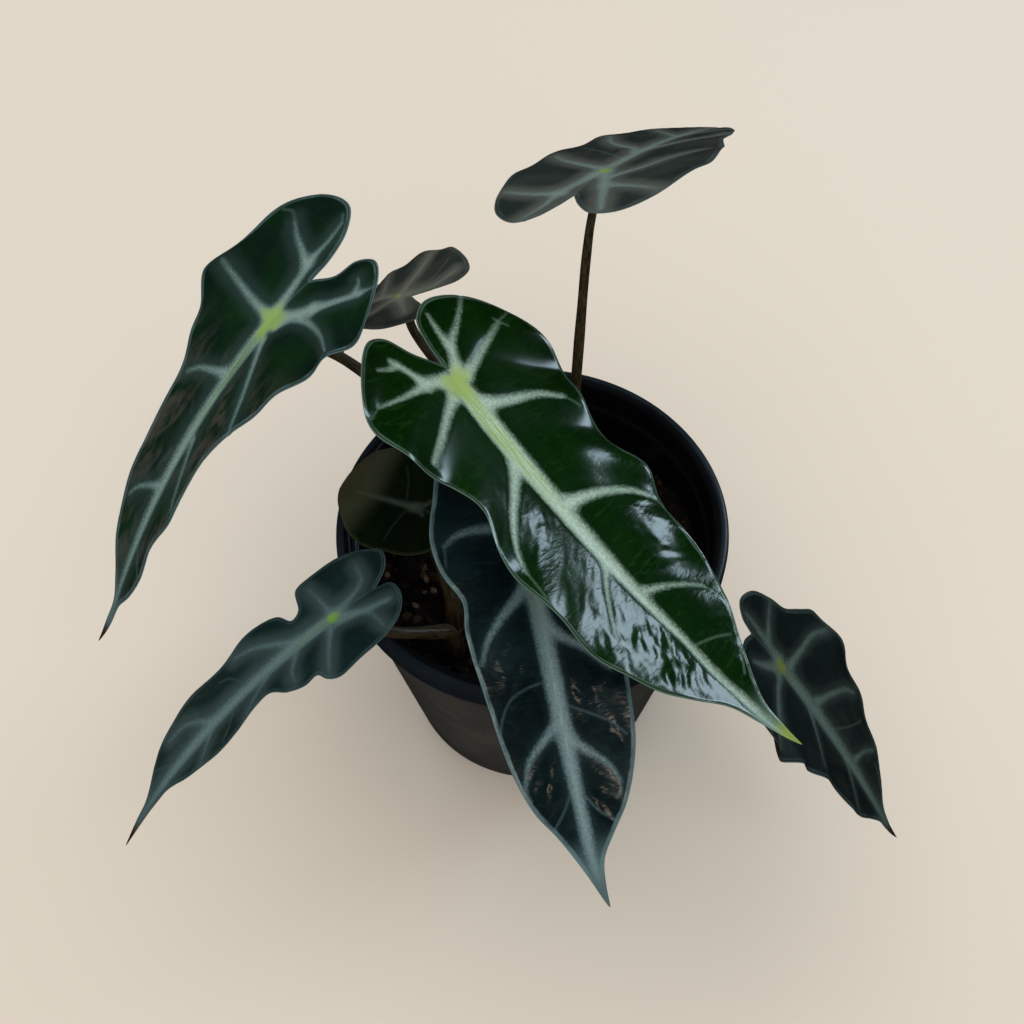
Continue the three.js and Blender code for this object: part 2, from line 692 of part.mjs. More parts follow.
function makePetiole(leaf) {
  const path = petiolePath(leaf);
  const frames = path.computeFrenetFrames(PETIOLE_STEPS, false);
  const rings = [];
  const points = [];
  for (let i = 0; i <= PETIOLE_STEPS; i += 1) {
    const centre = path.getPointAt(i / PETIOLE_STEPS);
    const radius = petioleRadius(leaf, centre.z);
    const ring = [];
    for (let k = 0; k < PETIOLE_SIDES; k += 1) {
      const turn = (2 * Math.PI * k) / PETIOLE_SIDES;
      ring.push(points.length);
      points.push(
        centre
          .clone()
          .addScaledVector(frames.normals[i], radius * Math.cos(turn))
          .addScaledVector(frames.binormals[i], radius * Math.sin(turn)),
      );
    }
    rings.push(ring);
  }
  const triangles = [];
  for (let i = 0; i < PETIOLE_STEPS; i += 1) {
    for (let k = 0; k < PETIOLE_SIDES; k += 1) {
      const next = (k + 1) % PETIOLE_SIDES;
      const [a, b] = [rings[i][k], rings[i][next]];
      const [c, d] = [rings[i + 1][next], rings[i + 1][k]];
      triangles.push([a, b, c], [a, c, d]);
    }
  }
  const last = rings[PETIOLE_STEPS];
  for (let k = 1; k + 1 < PETIOLE_SIDES; k += 1) {
    triangles.push([rings[0][0], rings[0][k + 1], rings[0][k]], [last[0], last[k], last[k + 1]]);
  }
  addMesh(`petiole_${leaf.name}`, bodyFrom(points, triangles), "petiole");
}

makePot();
makeSoil();
makeRhizome("rhizome_main", MAIN_CROWN);
makeRhizome("rhizome_front", FRONT_CROWN);
for (const leaf of LEAVES) {
  makeBlade(leaf);
  makePetiole(leaf);
}

export default plant;
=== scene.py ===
"""A small arrow-leaved house plant in a round plastic pot: looks built round the fixed CAD frame.

Lengths are in millimetres until a mesh is made, and then in metres. The origin is the middle of
the pot's base, +Z is up and -Y is the front. The blade surface, the petiole routes, the pot and
the soil repeat the numbers of the CAD source, so every piece lies where its node is.
"""

import functools
import itertools
import math

import bpy
import numpy as np
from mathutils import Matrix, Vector


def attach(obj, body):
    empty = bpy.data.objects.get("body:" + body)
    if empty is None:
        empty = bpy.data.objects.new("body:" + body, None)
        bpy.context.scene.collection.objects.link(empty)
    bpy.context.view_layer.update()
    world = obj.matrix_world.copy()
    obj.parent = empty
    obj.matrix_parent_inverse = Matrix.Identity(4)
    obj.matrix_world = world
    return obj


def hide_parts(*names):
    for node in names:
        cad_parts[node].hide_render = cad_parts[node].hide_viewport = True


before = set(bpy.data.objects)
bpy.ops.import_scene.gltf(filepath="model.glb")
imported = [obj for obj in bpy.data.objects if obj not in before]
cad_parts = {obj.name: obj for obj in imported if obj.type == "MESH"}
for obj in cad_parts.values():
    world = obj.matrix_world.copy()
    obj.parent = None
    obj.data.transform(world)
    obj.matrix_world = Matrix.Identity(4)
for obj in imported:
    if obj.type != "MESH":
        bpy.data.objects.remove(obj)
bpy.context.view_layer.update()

MM = 0.001

# Pot and what fills it
GAP = 0.3
POT_HEIGHT = 100
RIM_RADIUS = 60
BASE_RADIUS = 43
WALL = 2
FLOOR = 2.5
LIP_HEIGHT = 8
LIP_OVERHANG = 2.6
LIP_WIDTH = 4.6
LEDGE_DEPTH = 9
LEDGE_WIDTH = 1.8
DRAIN_HOLE = {"count": 5, "radius": 4, "ring": 30, "cut": 20}
SOIL_TOP = 80
SOIL_BUMP = 1.3

# Leaves
BLADE_THICKNESS = 0.7
KEEL = {"at_hub": 1.3, "at_tip": 0.2, "half_width": 1.9}
MARCH = 2.5
RIPPLE_REACH = 25
RIPPLE_SLANT = 0.6
LOBE_SWING_REACH = 30
BURIED = 22
GENICULUM = 5
SWELL_REACH = 8
SHEATH_HEIGHT = 26

MAIN_CROWN = {"x": 6, "y": 14, "radius": 4.2, "ring": 8.6}
FRONT_CROWN = {"x": -18, "y": -29, "radius": 3, "ring": 6.6}
CROWN_RISE = 7

VEIN_BLEND = 0.7
VEIN_TAPER = 0.8
VEIN_ROOT = {"share": 0.5, "reach": 2.2}
THREAD_HALF_WIDTH = 0.3
FIELD_END = -8
PUFF = {"height": 0.25, "reach": 4, "from_edge": 2.2}
VEIN_SINK = 0.17
WRINKLES = (
    {"along": 0.3, "across": 0.09, "start": 3.1, "seed": 11, "layers": 1, "share": 0.8},
    {"along": 0.62, "across": 0.17, "start": 8.4, "seed": 17, "layers": 2, "share": 0.9},
)
PUCKER_STRETCH = 0.75
PUCKER_SEED = 19
THREAD_SINK = 0.05
ROLLED_EDGE = {"depth": 0.15, "reach": 0.9}
NERVE_HEIGHT = 0.45
RIM_ROUNDING = 0.16
STALK_STEP = 1.1
STALK_SIDES = 30
STALK_JOINT = {"swell": 0.1, "at": 5, "reach": 3}
STALK_FLARE = {"swell": 0.75, "reach": 1.1}

# Each leaf as in the CAD source: the hub where the petiole meets the blade, where the midrib
# points, how it bends per 100 mm, fold, curl, waves, tip hook and half outlines in [along, across],
# and the petiole: its place round its crown, its radii and the points that it passes.
# spacing: size of the fine mesh's quads.
LEAVES = {
    "front_large": {
        "slot": "blade_glossy",
        "spacing": 0.6,
        "hub": [-18.7, -10, 179.2],
        "heading": -50,
        "pitch": -20,
        "roll": -20.5,
        "bend": {"droop": -2.7, "sway": 9, "twist": 9, "lobe_droop": 16, "lobe_swing": -36},
        "fold": {"left": 5, "right": 12},
        "curl": {"left": -7, "right": 1},
        "ripple": {"height": 0.9, "length": 25, "left": 40, "right": 200},
        "hook": {"length": 16, "shift": 2},
        "left": [
            [-6, 0], [-13, 0.8], [-19.5, 3.5], [-22.3, 10], [-19.5, 20], [-13, 28], [-2, 33],
            [10, 33.5], [24, 28.3], [34, 28], [45, 30], [56, 26.5], [66, 24], [77, 22.5],
            [88, 17], [99, 10], [109, 4], [117, 1.8], [124, 0],
        ],
        "right": [
            [-6, 0], [-12, -6.5], [-19, -11], [-20.3, -17], [-15, -26], [-6, -33.5], [4, -36],
            [14, -33], [23, -25.5], [31, -23.5], [40, -27.3], [50, -28], [63, -26.3],
            [75, -25], [86, -19.5], [96, -12], [104, -5], [113, -1.8], [124, 0],
        ],
        "petiole": {
            "crown": MAIN_CROWN, "angle": 235, "base_radius": 3.4,
            "stem_radius": 2.2, "top_radius": 1.9,
            "via": [[4, 9, 110], [-4, 5, 142], [-16, -3, 164]],
        },
    },
    "upper_left": {
        "slot": "blade_dusty",
        "spacing": 0.7,
        "hub": [-70.8, 19.5, 168.6],
        "heading": -135,
        "pitch": -24.6,
        "roll": 15.2,
        "bend": {"droop": 29.5, "sway": 1.7, "twist": -11.6, "lobe_droop": 29, "lobe_swing": 51},
        "fold": {"left": 11, "right": 6.5},
        "curl": {"left": -0.5, "right": -7.3},
        "ripple": {"height": 0.8, "length": 23, "left": 120, "right": 30},
        "hook": {"length": 16, "shift": -3},
        "left": [
            [-16, 0], [-22, 6.5], [-29, 6.5], [-33.3, 11], [-31.5, 22], [-25, 32],
            [-14, 36.7], [-4, 36], [7, 29.7], [19, 22.7], [29, 17], [39, 12], [52, 11.2],
            [60, 10.7], [70, 7.5], [79, 8], [87, 5.5], [93, 1.8], [100, 1], [108, 0],
        ],
        "right": [
            [-16, 0], [-23, -1.6], [-30, -6], [-35, -14], [-33, -21.5], [-25, -29],
            [-15, -33.5], [-3, -36], [5, -31.7], [13, -24], [22, -18.5], [34, -15],
            [48, -14], [62, -11.8], [74, -8.3], [84, -3.6], [91, -1.2], [100, -0.9], [108, 0],
        ],
        "petiole": {
            "crown": MAIN_CROWN, "angle": 170, "base_radius": 3.1,
            "stem_radius": 1.9, "top_radius": 1.5,
            "via": [[-7, 15, 98], [-24, 19, 118], [-47, 23, 141], [-55, 22.5, 151]],
        },
    },
    "small_back": {
        "slot": "blade_dusty",
        "spacing": 0.75,
        "hub": [-39.3, 46, 149.8],
        "heading": 136,
        "pitch": -39,
        "roll": -3,
        "bend": {"droop": 54, "sway": 1, "twist": 0, "lobe_droop": 35, "lobe_swing": 0},
        "fold": {"left": 7, "right": 12.5},
        "curl": {"left": -3, "right": -3},
        "ripple": {"height": 1, "length": 19, "left": 60, "right": 150},
        "hook": {"length": 12, "shift": 0},
        "left": [
            [-7.5, 0], [-12, 1.7], [-19, 4.2], [-24, 7.3], [-25, 11], [-21, 14.6],
            [-14, 17.6], [-6, 19.2], [2, 19], [10, 16.6], [19, 14], [29, 13.4], [40, 12],
            [51, 9], [60, 5], [66, 2], [73, 0],
        ],
        "petiole": {
            "crown": MAIN_CROWN, "angle": 115, "base_radius": 2.8,
            "stem_radius": 1.6, "top_radius": 1.25,
            "via": [[-2, 24, 97], [-17, 32, 114], [-30, 40, 128], [-36, 43.5, 139]],
        },
    },
    "tall": {
        "slot": "blade_dusty",
        "spacing": 0.7,
        "hub": [18, 32.2, 210.8],
        "heading": 58,
        "pitch": -22,
        "roll": -26,
        "bend": {"droop": 15, "sway": 5, "twist": 5.5, "lobe_droop": 57, "lobe_swing": 0},
        "fold": {"left": 4.5, "right": 1},
        "curl": {"left": -3, "right": -3},
        "ripple": {"height": 0.4, "length": 24, "left": 10, "right": 100},
        "hook": {"length": 14, "shift": 2.5},
        "left": [
            [-17, 0], [-22, 1.8], [-27.5, 5.5], [-29.8, 10.5], [-26.5, 16.5], [-18, 21.5],
            [-8, 24], [3, 25.8], [14, 26], [24, 24], [33, 22.7], [43, 22.5], [54, 19],
            [66, 11.5], [75, 5.5], [80, 2], [86, 0],
        ],
        "right": [
            [-17, 0], [-22.5, -4], [-26.5, -9], [-26, -16], [-20, -22], [-10, -26],
            [0, -27], [10, -26], [21, -23], [33, -18], [45, -15.5], [57, -12], [67, -7.8],
            [76, -4], [80, -2], [86, 0],
        ],
        "petiole": {
            "crown": MAIN_CROWN, "angle": 50, "base_radius": 3.3,
            "stem_radius": 1.85, "top_radius": 1.05,
            "via": [
                [12, 23.5, 105], [12.6, 24, 135], [13.3, 24.3, 165], [14, 25, 188],
                [14.9, 26.4, 200], [15.9, 27.6, 204.5],
            ],
        },
    },
    "lower_left": {
        "slot": "blade_dusty",
        "spacing": 0.65,
        "hub": [-54.5, -45.3, 121.2],
        "heading": -146,
        "pitch": -14,
        "roll": 15,
        "bend": {"droop": 34.5, "sway": 2.7, "twist": -1.9, "lobe_droop": 9, "lobe_swing": 0},
        "fold": {"left": 13, "right": 7},
        "curl": {"left": -3.3, "right": -5},
        "ripple": {"height": 1.2, "length": 20, "left": 0, "right": 120},
        "hook": {"length": 16, "shift": 0},
        "left": [
            [-14, 0], [-18, 1.5], [-19, 8], [-16, 15], [-9, 20], [0, 22.8], [6, 22],
            [9.3, 19.5], [11, 16.4], [15, 17], [20, 13.5], [25, 8.3], [30, 8.5], [38, 10.5],
            [47, 10.8], [57, 7.5], [66, 3], [74, 1.3], [89, 0],
        ],
        "right": [
            [-14, 0], [-19.5, -4.2], [-21.3, -9.5], [-18, -13], [-9, -16.4], [0, -17.3],
            [4.5, -15.5], [7, -9], [10, -8], [13, -12.5], [20, -14.8], [32, -12.4],
            [46, -12.6], [57, -11], [66, -6.8], [74, -2.2], [81, -1.1], [89, 0],
        ],
        "petiole": {
            "crown": FRONT_CROWN, "angle": 222, "base_radius": 2.7,
            "stem_radius": 1.75, "top_radius": 1.5,
            "via": [[-24.5, -34, 91], [-30, -37, 97], [-37, -40.3, 103], [-44, -43, 110]],
        },
    },
    "front_low": {
        "slot": "blade_bluish",
        "spacing": 0.6,
        "hub": [-3, -35, 150.7],
        "heading": -78,
        "pitch": -19.3,
        "roll": -5.3,
        "bend": {"droop": 9.2, "sway": 3, "twist": 3.4, "lobe_droop": 34, "lobe_swing": 20},
        "fold": {"left": 9, "right": 14},
        "curl": {"left": -3, "right": -0.5},
        "ripple": {"height": 0.8, "length": 24, "left": 90, "right": 250},
        "hook": {"length": 16, "shift": 2},
        "left": [
            [-8, 0], [-15, 2.5], [-22, 6.5], [-25, 13], [-20, 20.5], [-11, 25], [0, 26],
            [10, 24.5], [20, 21.3], [32, 19.5], [44, 19], [56, 17.7], [65, 15.5], [73, 12],
            [80, 7], [86, 3], [92, 1.3], [98, 0],
        ],
        "right": [
            [-8, 0], [-15, -2.5], [-22, -6.5], [-25, -13], [-19.5, -19], [-9, -22.5],
            [1, -25.3], [9, -24], [17, -19.7], [25, -20.5], [38, -19], [51, -17.4],
            [63, -15], [71, -12], [78, -7.5], [85, -3.8], [92, -1.3], [98, 0],
        ],
        "petiole": {
            "crown": FRONT_CROWN, "angle": 5, "base_radius": 2.9,
            "stem_radius": 2.0, "top_radius": 1.7,
            "via": [[-9.5, -29, 100], [-7, -29.5, 122], [-4, -31, 138]],
        },
    },
    "lower_right": {
        "slot": "blade_dusty",
        "spacing": 0.65,
        "hub": [67.4, -57.9, 116.5],
        "heading": -28,
        "pitch": -49,
        "roll": -13,
        "bend": {"droop": 7.4, "sway": -8, "twist": 6.5, "lobe_droop": 13, "lobe_swing": -20},
        "fold": {"left": 12, "right": 14},
        "curl": {"left": -3, "right": -1.5},
        "ripple": {"height": 1.2, "length": 20, "left": 30, "right": 180},
        "hook": {"length": 13, "shift": 2},
        "left": [
            [-15, 0], [-20.5, 1.6], [-23.4, 5], [-20.5, 10], [-14, 12.6], [-8, 13.7],
            [-3, 17.5], [3, 22.3], [11, 24], [20, 22.2], [30, 18.6], [40, 15], [50, 11.5],
            [58, 7.5], [65, 2.7], [71, 1.2], [79, 0],
        ],
        "right": [
            [-15, 0], [-19, -6], [-20.5, -14], [-16.5, -23], [-8, -30.3], [1, -31],
            [10, -26], [20, -21.6], [32, -16.7], [43, -15.6], [52, -12], [60, -6.5],
            [67, -2.2], [73, -1], [79, 0],
        ],
        "petiole": {
            "crown": MAIN_CROWN, "angle": -25, "base_radius": 3,
            "stem_radius": 1.75, "top_radius": 1.4,
            "via": [[17, 6, 100], [30, -14, 112], [46, -36, 113.5], [56, -48, 111.5]],
        },
    },
    "inside_rim": {
        "slot": "blade_glossy",
        "spacing": 0.5,
        "hub": [-35.5, -3, 112],
        "heading": 151,
        "pitch": -17,
        "roll": -4,
        "bend": {"droop": 14, "sway": 0, "twist": 0, "lobe_droop": 20, "lobe_swing": 0},
        "fold": {"left": 8, "right": 8},
        "curl": {"left": -4, "right": -4},
        "ripple": {"height": 0.8, "length": 17, "left": 0, "right": 90},
        "hook": {"length": 6, "shift": 0},
        "left": [
            [-6, 0], [-11.5, 2], [-15.5, 7], [-14, 13], [-8, 16.7], [0, 17.7], [8, 17.3],
            [15, 14.3], [21, 9.5], [26, 4.5], [29, 0],
        ],
        "right": [
            [-6, 0], [-11.5, -2], [-15.5, -7], [-14, -13], [-8, -16.7], [0, -18.4],
            [10, -18.6], [18, -17.5], [24, -13.5], [27.5, -7.5], [29, 0],
        ],
        "petiole": {
            "crown": FRONT_CROWN, "angle": 148, "base_radius": 2.6,
            "stem_radius": 1.6, "top_radius": 1.3,
            "via": [[-24.8, -22, 95], [-29, -14, 104]],
        },
    },
}

# This one is mirror-symmetric
LEAVES["small_back"]["right"] = [[along, -across] for along, across in LEAVES["small_back"]["left"]]

# Pale veins, read off the upper faces in [along, across]. midrib: [along, half width] stations.
# veins: (half width at the start, at the end, points). threads: hairlines. swells: gentle
# rises and hollows of the upper face as (along, across, height), all as wide as SWELL_REACH.
# puckers: patches of small folds as (along, across, reach, height, spacing of the folds).
VEINS = {
    "front_large": {
        "midrib": [[0, 3.1], [12, 3.7], [25, 3.4], [40, 2.9], [55, 2.5], [70, 1.8], [85, 1.3],
                   [100, 1.1], [110, 1.5], [118, 0.9]],
        "veins": [
            (1.7, 0.4, [[-3, 2.5], [-9, 5.5], [-14, 6], [-19, 7.3]]),
            (1.0, 0.2, [[-9.5, 6], [-13, 12], [-16, 17], [-18.5, 21]]),
            (1.5, 0.45, [[-1, 4], [-4, 12], [-7, 20], [-8.5, 24]]),
            (2.3, 1.7, [[-1, -3], [-2.5, -7], [-3, -11]]),
            (1.5, 0.7, [[-3, -11], [-8, -13], [-13, -15.5]]),
            (0.7, 0.3, [[-11, -14.5], [-11, -18], [-12, -22]]),
            (1.2, 0.4, [[-2.5, -12], [-1.8, -20], [-2.2, -30]]),
            (1.9, 0.8, [[8, 3], [10.3, 10], [13, 19], [17, 24.5]]),
            (1.8, 0.6, [[41, 3], [42.5, 9], [45.5, 16], [49, 21], [54, 25]]),
            (0.9, 0.35, [[70, 2], [72.5, 7], [76, 12], [80, 16]]),
            (1.5, 0.8, [[3, -5], [7, -12], [12, -20], [15.5, -26.5]]),
            (1.8, 0.4, [[26, -3], [31, -9.5], [36, -16], [42, -21.5], [48, -24.5]]),
            (0.8, 0.3, [[59, -2], [64, -8], [69, -13], [73, -16.3]]),
        ],
        "threads": [
            [[-18.5, 21], [-18.5, 24]],
            [[-8.5, 24], [-9.5, 29]],
            [[-8.5, 24], [-6.5, 25.5]],
            [[-8.5, 24], [-10, 23.3]],
            [[17, 24.5], [22, 27]],
            [[54, 25], [58, 25.5]],
            [[80, 16], [86, 16.8], [93, 13.5], [102, 5.5]],
            [[15.5, -26.5], [20, -26]],
            [[48, -24.5], [55, -26]],
            [[73, -16.3], [77, -16.5]],
            [[-2.2, -30], [0, -34]],
            [[88, 1], [90.5, 7], [93, 11]],
            [[80, -1], [85, -7], [90, -10]],
        ],
        "swells": [
            (-12, 18, -0.4), (-2, 16, -0.5), (6, 24, -0.4), (14, 12, -0.3), (32, 14, 1.1),
            (34, 24, 1.0), (42, 20, -0.9), (50, 12, 1.3), (54, 22, 1.0), (62, 12, 0.8),
            (70, 20, -0.9), (80, 10, 0.8), (36, -10, 0.4), (62, -20, 0.4), (86, -6, 0.6),
            (96, -6, -0.6),
        ],
        "puckers": [
            (86, -8, 11, 0.55, 3.2), (74, -15, 9, 0.3, 2.6), (99, 3, 8, 0.3, 2.4),
            (58, 12, 11, 0.22, 3), (36, -10, 9, 0.2, 2.6),
        ],
    },
    "upper_left": {
        "midrib": [[0, 2.6], [10, 2.3], [20, 1.9], [40, 1.9], [60, 1.5], [80, 1.1], [90, 0.7],
                   [108, 0.4]],
        "veins": [
            (1.7, 1.0, [[-3, -1], [-9, -2.2], [-15, -4], [-19, -6]]),
            (0.9, 0.3, [[-19, -6], [-25, -7.5], [-31, -10.5]]),
            (1.2, 0.3, [[-17.5, -5.5], [-19, -12], [-20, -18], [-21.5, -23]]),
            (1.5, 0.25, [[-1, -3], [-1.5, -12], [-2.8, -24], [-3.7, -33]]),
            (2.7, 2.0, [[-2, 3], [-7, 8.5], [-11, 12]]),
            (2.0, 0.9, [[-11, 12], [-16, 16.5], [-21, 19], [-25, 20.5]]),
            (0.9, 0.25, [[-25, 20.5], [-28, 22], [-31, 24]]),
            (0.7, 0.25, [[-24, 19], [-26.5, 16.5], [-27, 14.5]]),
            (1.3, 0.45, [[-6.5, 10], [-7.5, 18], [-7.2, 26], [-5, 33.5]]),
            (1.2, 0.45, [[5, 3], [12, 7.5], [20, 12], [29, 16.3]]),
            (0.7, 0.3, [[38, 2.5], [46, 5.5], [57, 9]]),
            (1.3, 0.45, [[18.5, -2], [20, -6], [22, -11], [25, -14]]),
            (0.9, 0.3, [[55, -1.5], [57, -5], [59.5, -8], [62.5, -9.5]]),
        ],
        "threads": [
            [[-21.5, -23], [-22.5, -26], [-21, -29.5]],
            [[-5, 33.5], [-2, 34]],
            [[-31, -10.5], [-32.5, -13]],
            [[72, 1], [77, 4.5], [81, 7]],
            [[29, 16.3], [31, 15.5]],
        ],
        "puckers": [(22, 18, 9, 0.3, 3.4), (40, -8, 9, 0.25, 3.6), (48, 7, 9, 0.25, 3.4)],
    },
    "small_back": {
        "midrib": [[0, 1.6], [20, 1.3], [50, 0.9], [73, 0.3]],
        "veins": [
            (1.3, 0.5, [[-3, -0.5], [-10, -2], [-16, -5], [-20, -10.5]]),
            (1.5, 0.5, [[-2, 1], [-10, 5], [-17, 9]]),
            (1.2, 0.4, [[-0.5, -2], [-1.2, -9], [0.5, -17]]),
            (1.0, 0.3, [[-0.5, 2], [-0.5, 8], [2, 16]]),
            (0.9, 0.3, [[12, -1], [16, -6], [22, -11.5]]),
            (0.9, 0.3, [[14, 1], [18, 6], [24, 11.5]]),
            (0.7, 0.25, [[32, -1], [37, -6], [42, -10]]),
            (0.7, 0.25, [[35, 1], [40, 6], [45, 9]]),
        ],
        "threads": [[[-9, -2], [-12, -8], [-13, -14]]],
    },
    "tall": {
        "midrib": [[0, 2.1], [20, 1.6], [40, 1.3], [70, 0.9], [86, 0.3]],
        "veins": [
            (1.7, 1.2, [[-3, 1], [-10, 2.5], [-16, 5]]),
            (1.2, 0.45, [[-16, 4], [-16.5, 12], [-14.5, 21]]),
            (1.0, 0.3, [[-16, 5], [-22, 5.5], [-28, 8.5]]),
            (1.9, 0.9, [[-2, -1], [-9, -4.5], [-16, -7.5], [-25, -11]]),
            (1.2, 0.45, [[-12, -6], [-13.5, -12], [-16.5, -21.5]]),
            (1.4, 0.45, [[2, 2], [6, 10], [11, 18], [15, 22]]),
            (1.1, 0.4, [[-6, -5], [0, -10.5], [8, -14], [16, -19]]),
            (1.2, 0.4, [[20, 1], [25, 4], [28, 9], [34, 15], [42, 19]]),
            (0.9, 0.3, [[24, -1], [31, -6], [40, -12], [47, -13.5]]),
            (0.8, 0.25, [[46, 1], [51, 6], [58, 12]]),
            (0.8, 0.25, [[49, -1], [56, -6], [63, -9]]),
        ],
        "threads": [[[12, 1], [18, 9], [25, 19]]],
    },
    "lower_left": {
        "midrib": [[0, 2.5], [15, 2.7], [30, 2.4], [50, 2.5], [65, 1.9], [75, 1.1], [89, 0.4]],
        "veins": [
            (2.3, 1.4, [[-2, 2], [-8, 5.5], [-15, 8]]),
            (0.8, 0.25, [[-9, 7], [-10, 12], [-10.5, 17]]),
            (1.1, 0.35, [[2, 3], [4.5, 9], [8, 18]]),
            (0.8, 0.25, [[14, 3], [17, 9], [17, 13]]),
            (1.2, 0.4, [[-2, -1], [-8, -2.5], [-12, -5], [-13, -10]]),
            (0.9, 0.25, [[0, -2], [0.5, -8], [1.5, -13.5]]),
            (1.3, 0.45, [[12, -1], [17, -5], [23, -9], [29, -11]]),
            (1.0, 0.35, [[44, -1], [48, -5], [52, -7.5], [58, -8]]),
            (0.8, 0.25, [[46, 2], [49, 5.5], [52, 8.5]]),
            (0.7, 0.25, [[24, 2], [28, 4.5], [33, 8]]),
        ],
        "threads": [
            [[30, -2], [33, -7], [36, -8.5]],
            [[36, 2], [39, 6], [43, 9.5]],
            [[60, -1], [64, -4], [67, -5.5]],
        ],
    },
    "front_low": {
        "midrib": [[0, 2.8], [30, 2.6], [45, 2.6], [60, 2.2], [72, 1.8], [80, 1.9], [88, 1.3],
                   [98, 0.4]],
        "veins": [
            (1.8, 1.2, [[-3, -1.5], [-8, -5.5], [-12, -9]]),
            (1.0, 0.3, [[-12, -9], [-17, -10], [-21, -13]]),
            (1.0, 0.3, [[-12, -9], [-14, -14], [-14, -18.5]]),
            (1.8, 1.2, [[-3, 1.5], [-8, 5.5], [-12, 9]]),
            (1.0, 0.3, [[-12, 9], [-17, 10], [-21, 13]]),
            (1.0, 0.3, [[-12, 9], [-14, 15], [-14, 20]]),
            (1.6, 0.3, [[-0.5, -3], [-0.5, -14], [0.8, -19], [3, -22]]),
            (1.6, 0.3, [[0.5, 3], [2, 11], [5, 18], [8, 22.5]]),
            (1.7, 0.35, [[14, -1], [18, -5], [23, -11], [28, -15.5], [33, -18]]),
            (1.5, 0.45, [[26, 1], [30, 5], [34, 10], [40, 15]]),
            (1.3, 0.3, [[51, -1], [54.5, -6], [59, -11], [64.5, -13.3]]),
            (1.2, 0.3, [[55, 1], [59, 5], [63.5, 9.5], [68, 11.5]]),
        ],
        "threads": [
            [[3, -22], [8, -22.5]],
            [[64.5, -13.3], [68, -12.5]],
            [[68, 11.5], [71, 11], [72, 9.5]],
            [[40, -2.5], [41, -8], [43, -12.5], [47, -15.5], [51, -17]],
            [[47, 2.5], [50, 7.5], [53, 12], [57, 15.5]],
            [[70, 2], [74, 4.5], [77, 8]],
            [[69, -2], [73, -5], [76, -8]],
        ],
        "puckers": [
            (46, 7, 7, 0.5, 2.4), (56, 12, 4, 0.45, 2.1), (73, 5, 5, 0.4, 2),
            (36, -8, 7, 0.45, 2.4), (65, -7, 6, 0.45, 2.2), (4, -16, 6, 0.35, 2.4),
        ],
    },
    "lower_right": {
        "midrib": [[0, 2.2], [15, 2.6], [30, 2.4], [50, 1.9], [65, 1.2], [79, 0.4]],
        "veins": [
            (1.4, 0.4, [[-2, 1], [-10, 2], [-20, 3.2]]),
            (0.8, 0.3, [[-9, 3.5], [-12, 8], [-13.5, 11.5]]),
            (1.3, 0.45, [[3, 3], [4.5, 10], [6, 16], [10, 21.5]]),
            (1.2, 0.4, [[19, 3], [23, 9], [27, 14], [30, 15.5]]),
            (0.8, 0.3, [[44, 2.5], [46, 7], [49, 10]]),
            (1.9, 0.6, [[-2, -2], [-8, -6], [-15, -10]]),
            (1.3, 0.35, [[-1, -4], [-2, -12], [0, -22], [1.5, -27]]),
            (1.1, 0.4, [[17, -2], [21, -8], [25, -15]]),
            (0.8, 0.3, [[40, -1], [44, -5], [49, -11]]),
        ],
        "threads": [[[52, 8], [56, 7], [60, 5]], [[30, 2], [35, 7], [39, 12.5]]],
    },
    "inside_rim": {
        "midrib": [[0, 1.2], [12, 0.9], [29, 0.6]],
        "veins": [
            (0.9, 0.4, [[-1, 0], [-3, 0.8], [-5, 2]]),
            (0.9, 0.3, [[-1, 0], [-4, -2], [-6, -5]]),
        ],
        "threads": [[[1, 1], [1.5, 8], [1, 14]], [[3, -1], [6, -8], [9, -12]]],
    },
}


# Seeded smooth noise


def hashed(cells, seed):
    """A number from -1 to 1 for each whole-number cell."""
    x, y, z = (cells[..., i].astype(np.int64) & 0xFFFFFFFF for i in range(3))
    mixed = (x * 374761393 + y * 668265263 + z * 1442695041 + seed * 974634777) & 0xFFFFFFFF
    mixed = ((mixed ^ (mixed >> 13)) * 1274126177) & 0xFFFFFFFF
    mixed = ((mixed ^ (mixed >> 16)) * 668265263) & 0xFFFFFFFF
    return (mixed ^ (mixed >> 15)) / 0x7FFFFFFF - 1.0


def smooth_noise(points, seed):
    """Value noise from -1 to 1 at each point, with one cell per unit."""
    points = np.asarray(points, float)
    cells = np.floor(points).astype(np.int64)
    share = points - cells
    share = share * share * (3 - 2 * share)
    total = np.zeros(points.shape[:-1])
    for corner in itertools.product((0, 1), repeat=3):
        weight = np.ones(points.shape[:-1])
        for i in range(3):
            weight = weight * (share[..., i] if corner[i] else 1 - share[..., i])
        total += weight * hashed(cells + np.array(corner), seed)
    return total


def layered_noise(points, seed, layers=3):
    points = np.asarray(points, float)
    total = 0
    for i in range(layers):
        total = total + smooth_noise(points * 2.03**i + 17.3 * i, seed + i) / 2**i
    return total / (2 - 0.5 ** (layers - 1))


def smoothstep(value, low, high):
    share = np.clip((value - low) / (high - low), 0, 1)
    return share * share * (3 - 2 * share)


def random_numbers(seed):
    return np.random.default_rng(seed)


# Curves


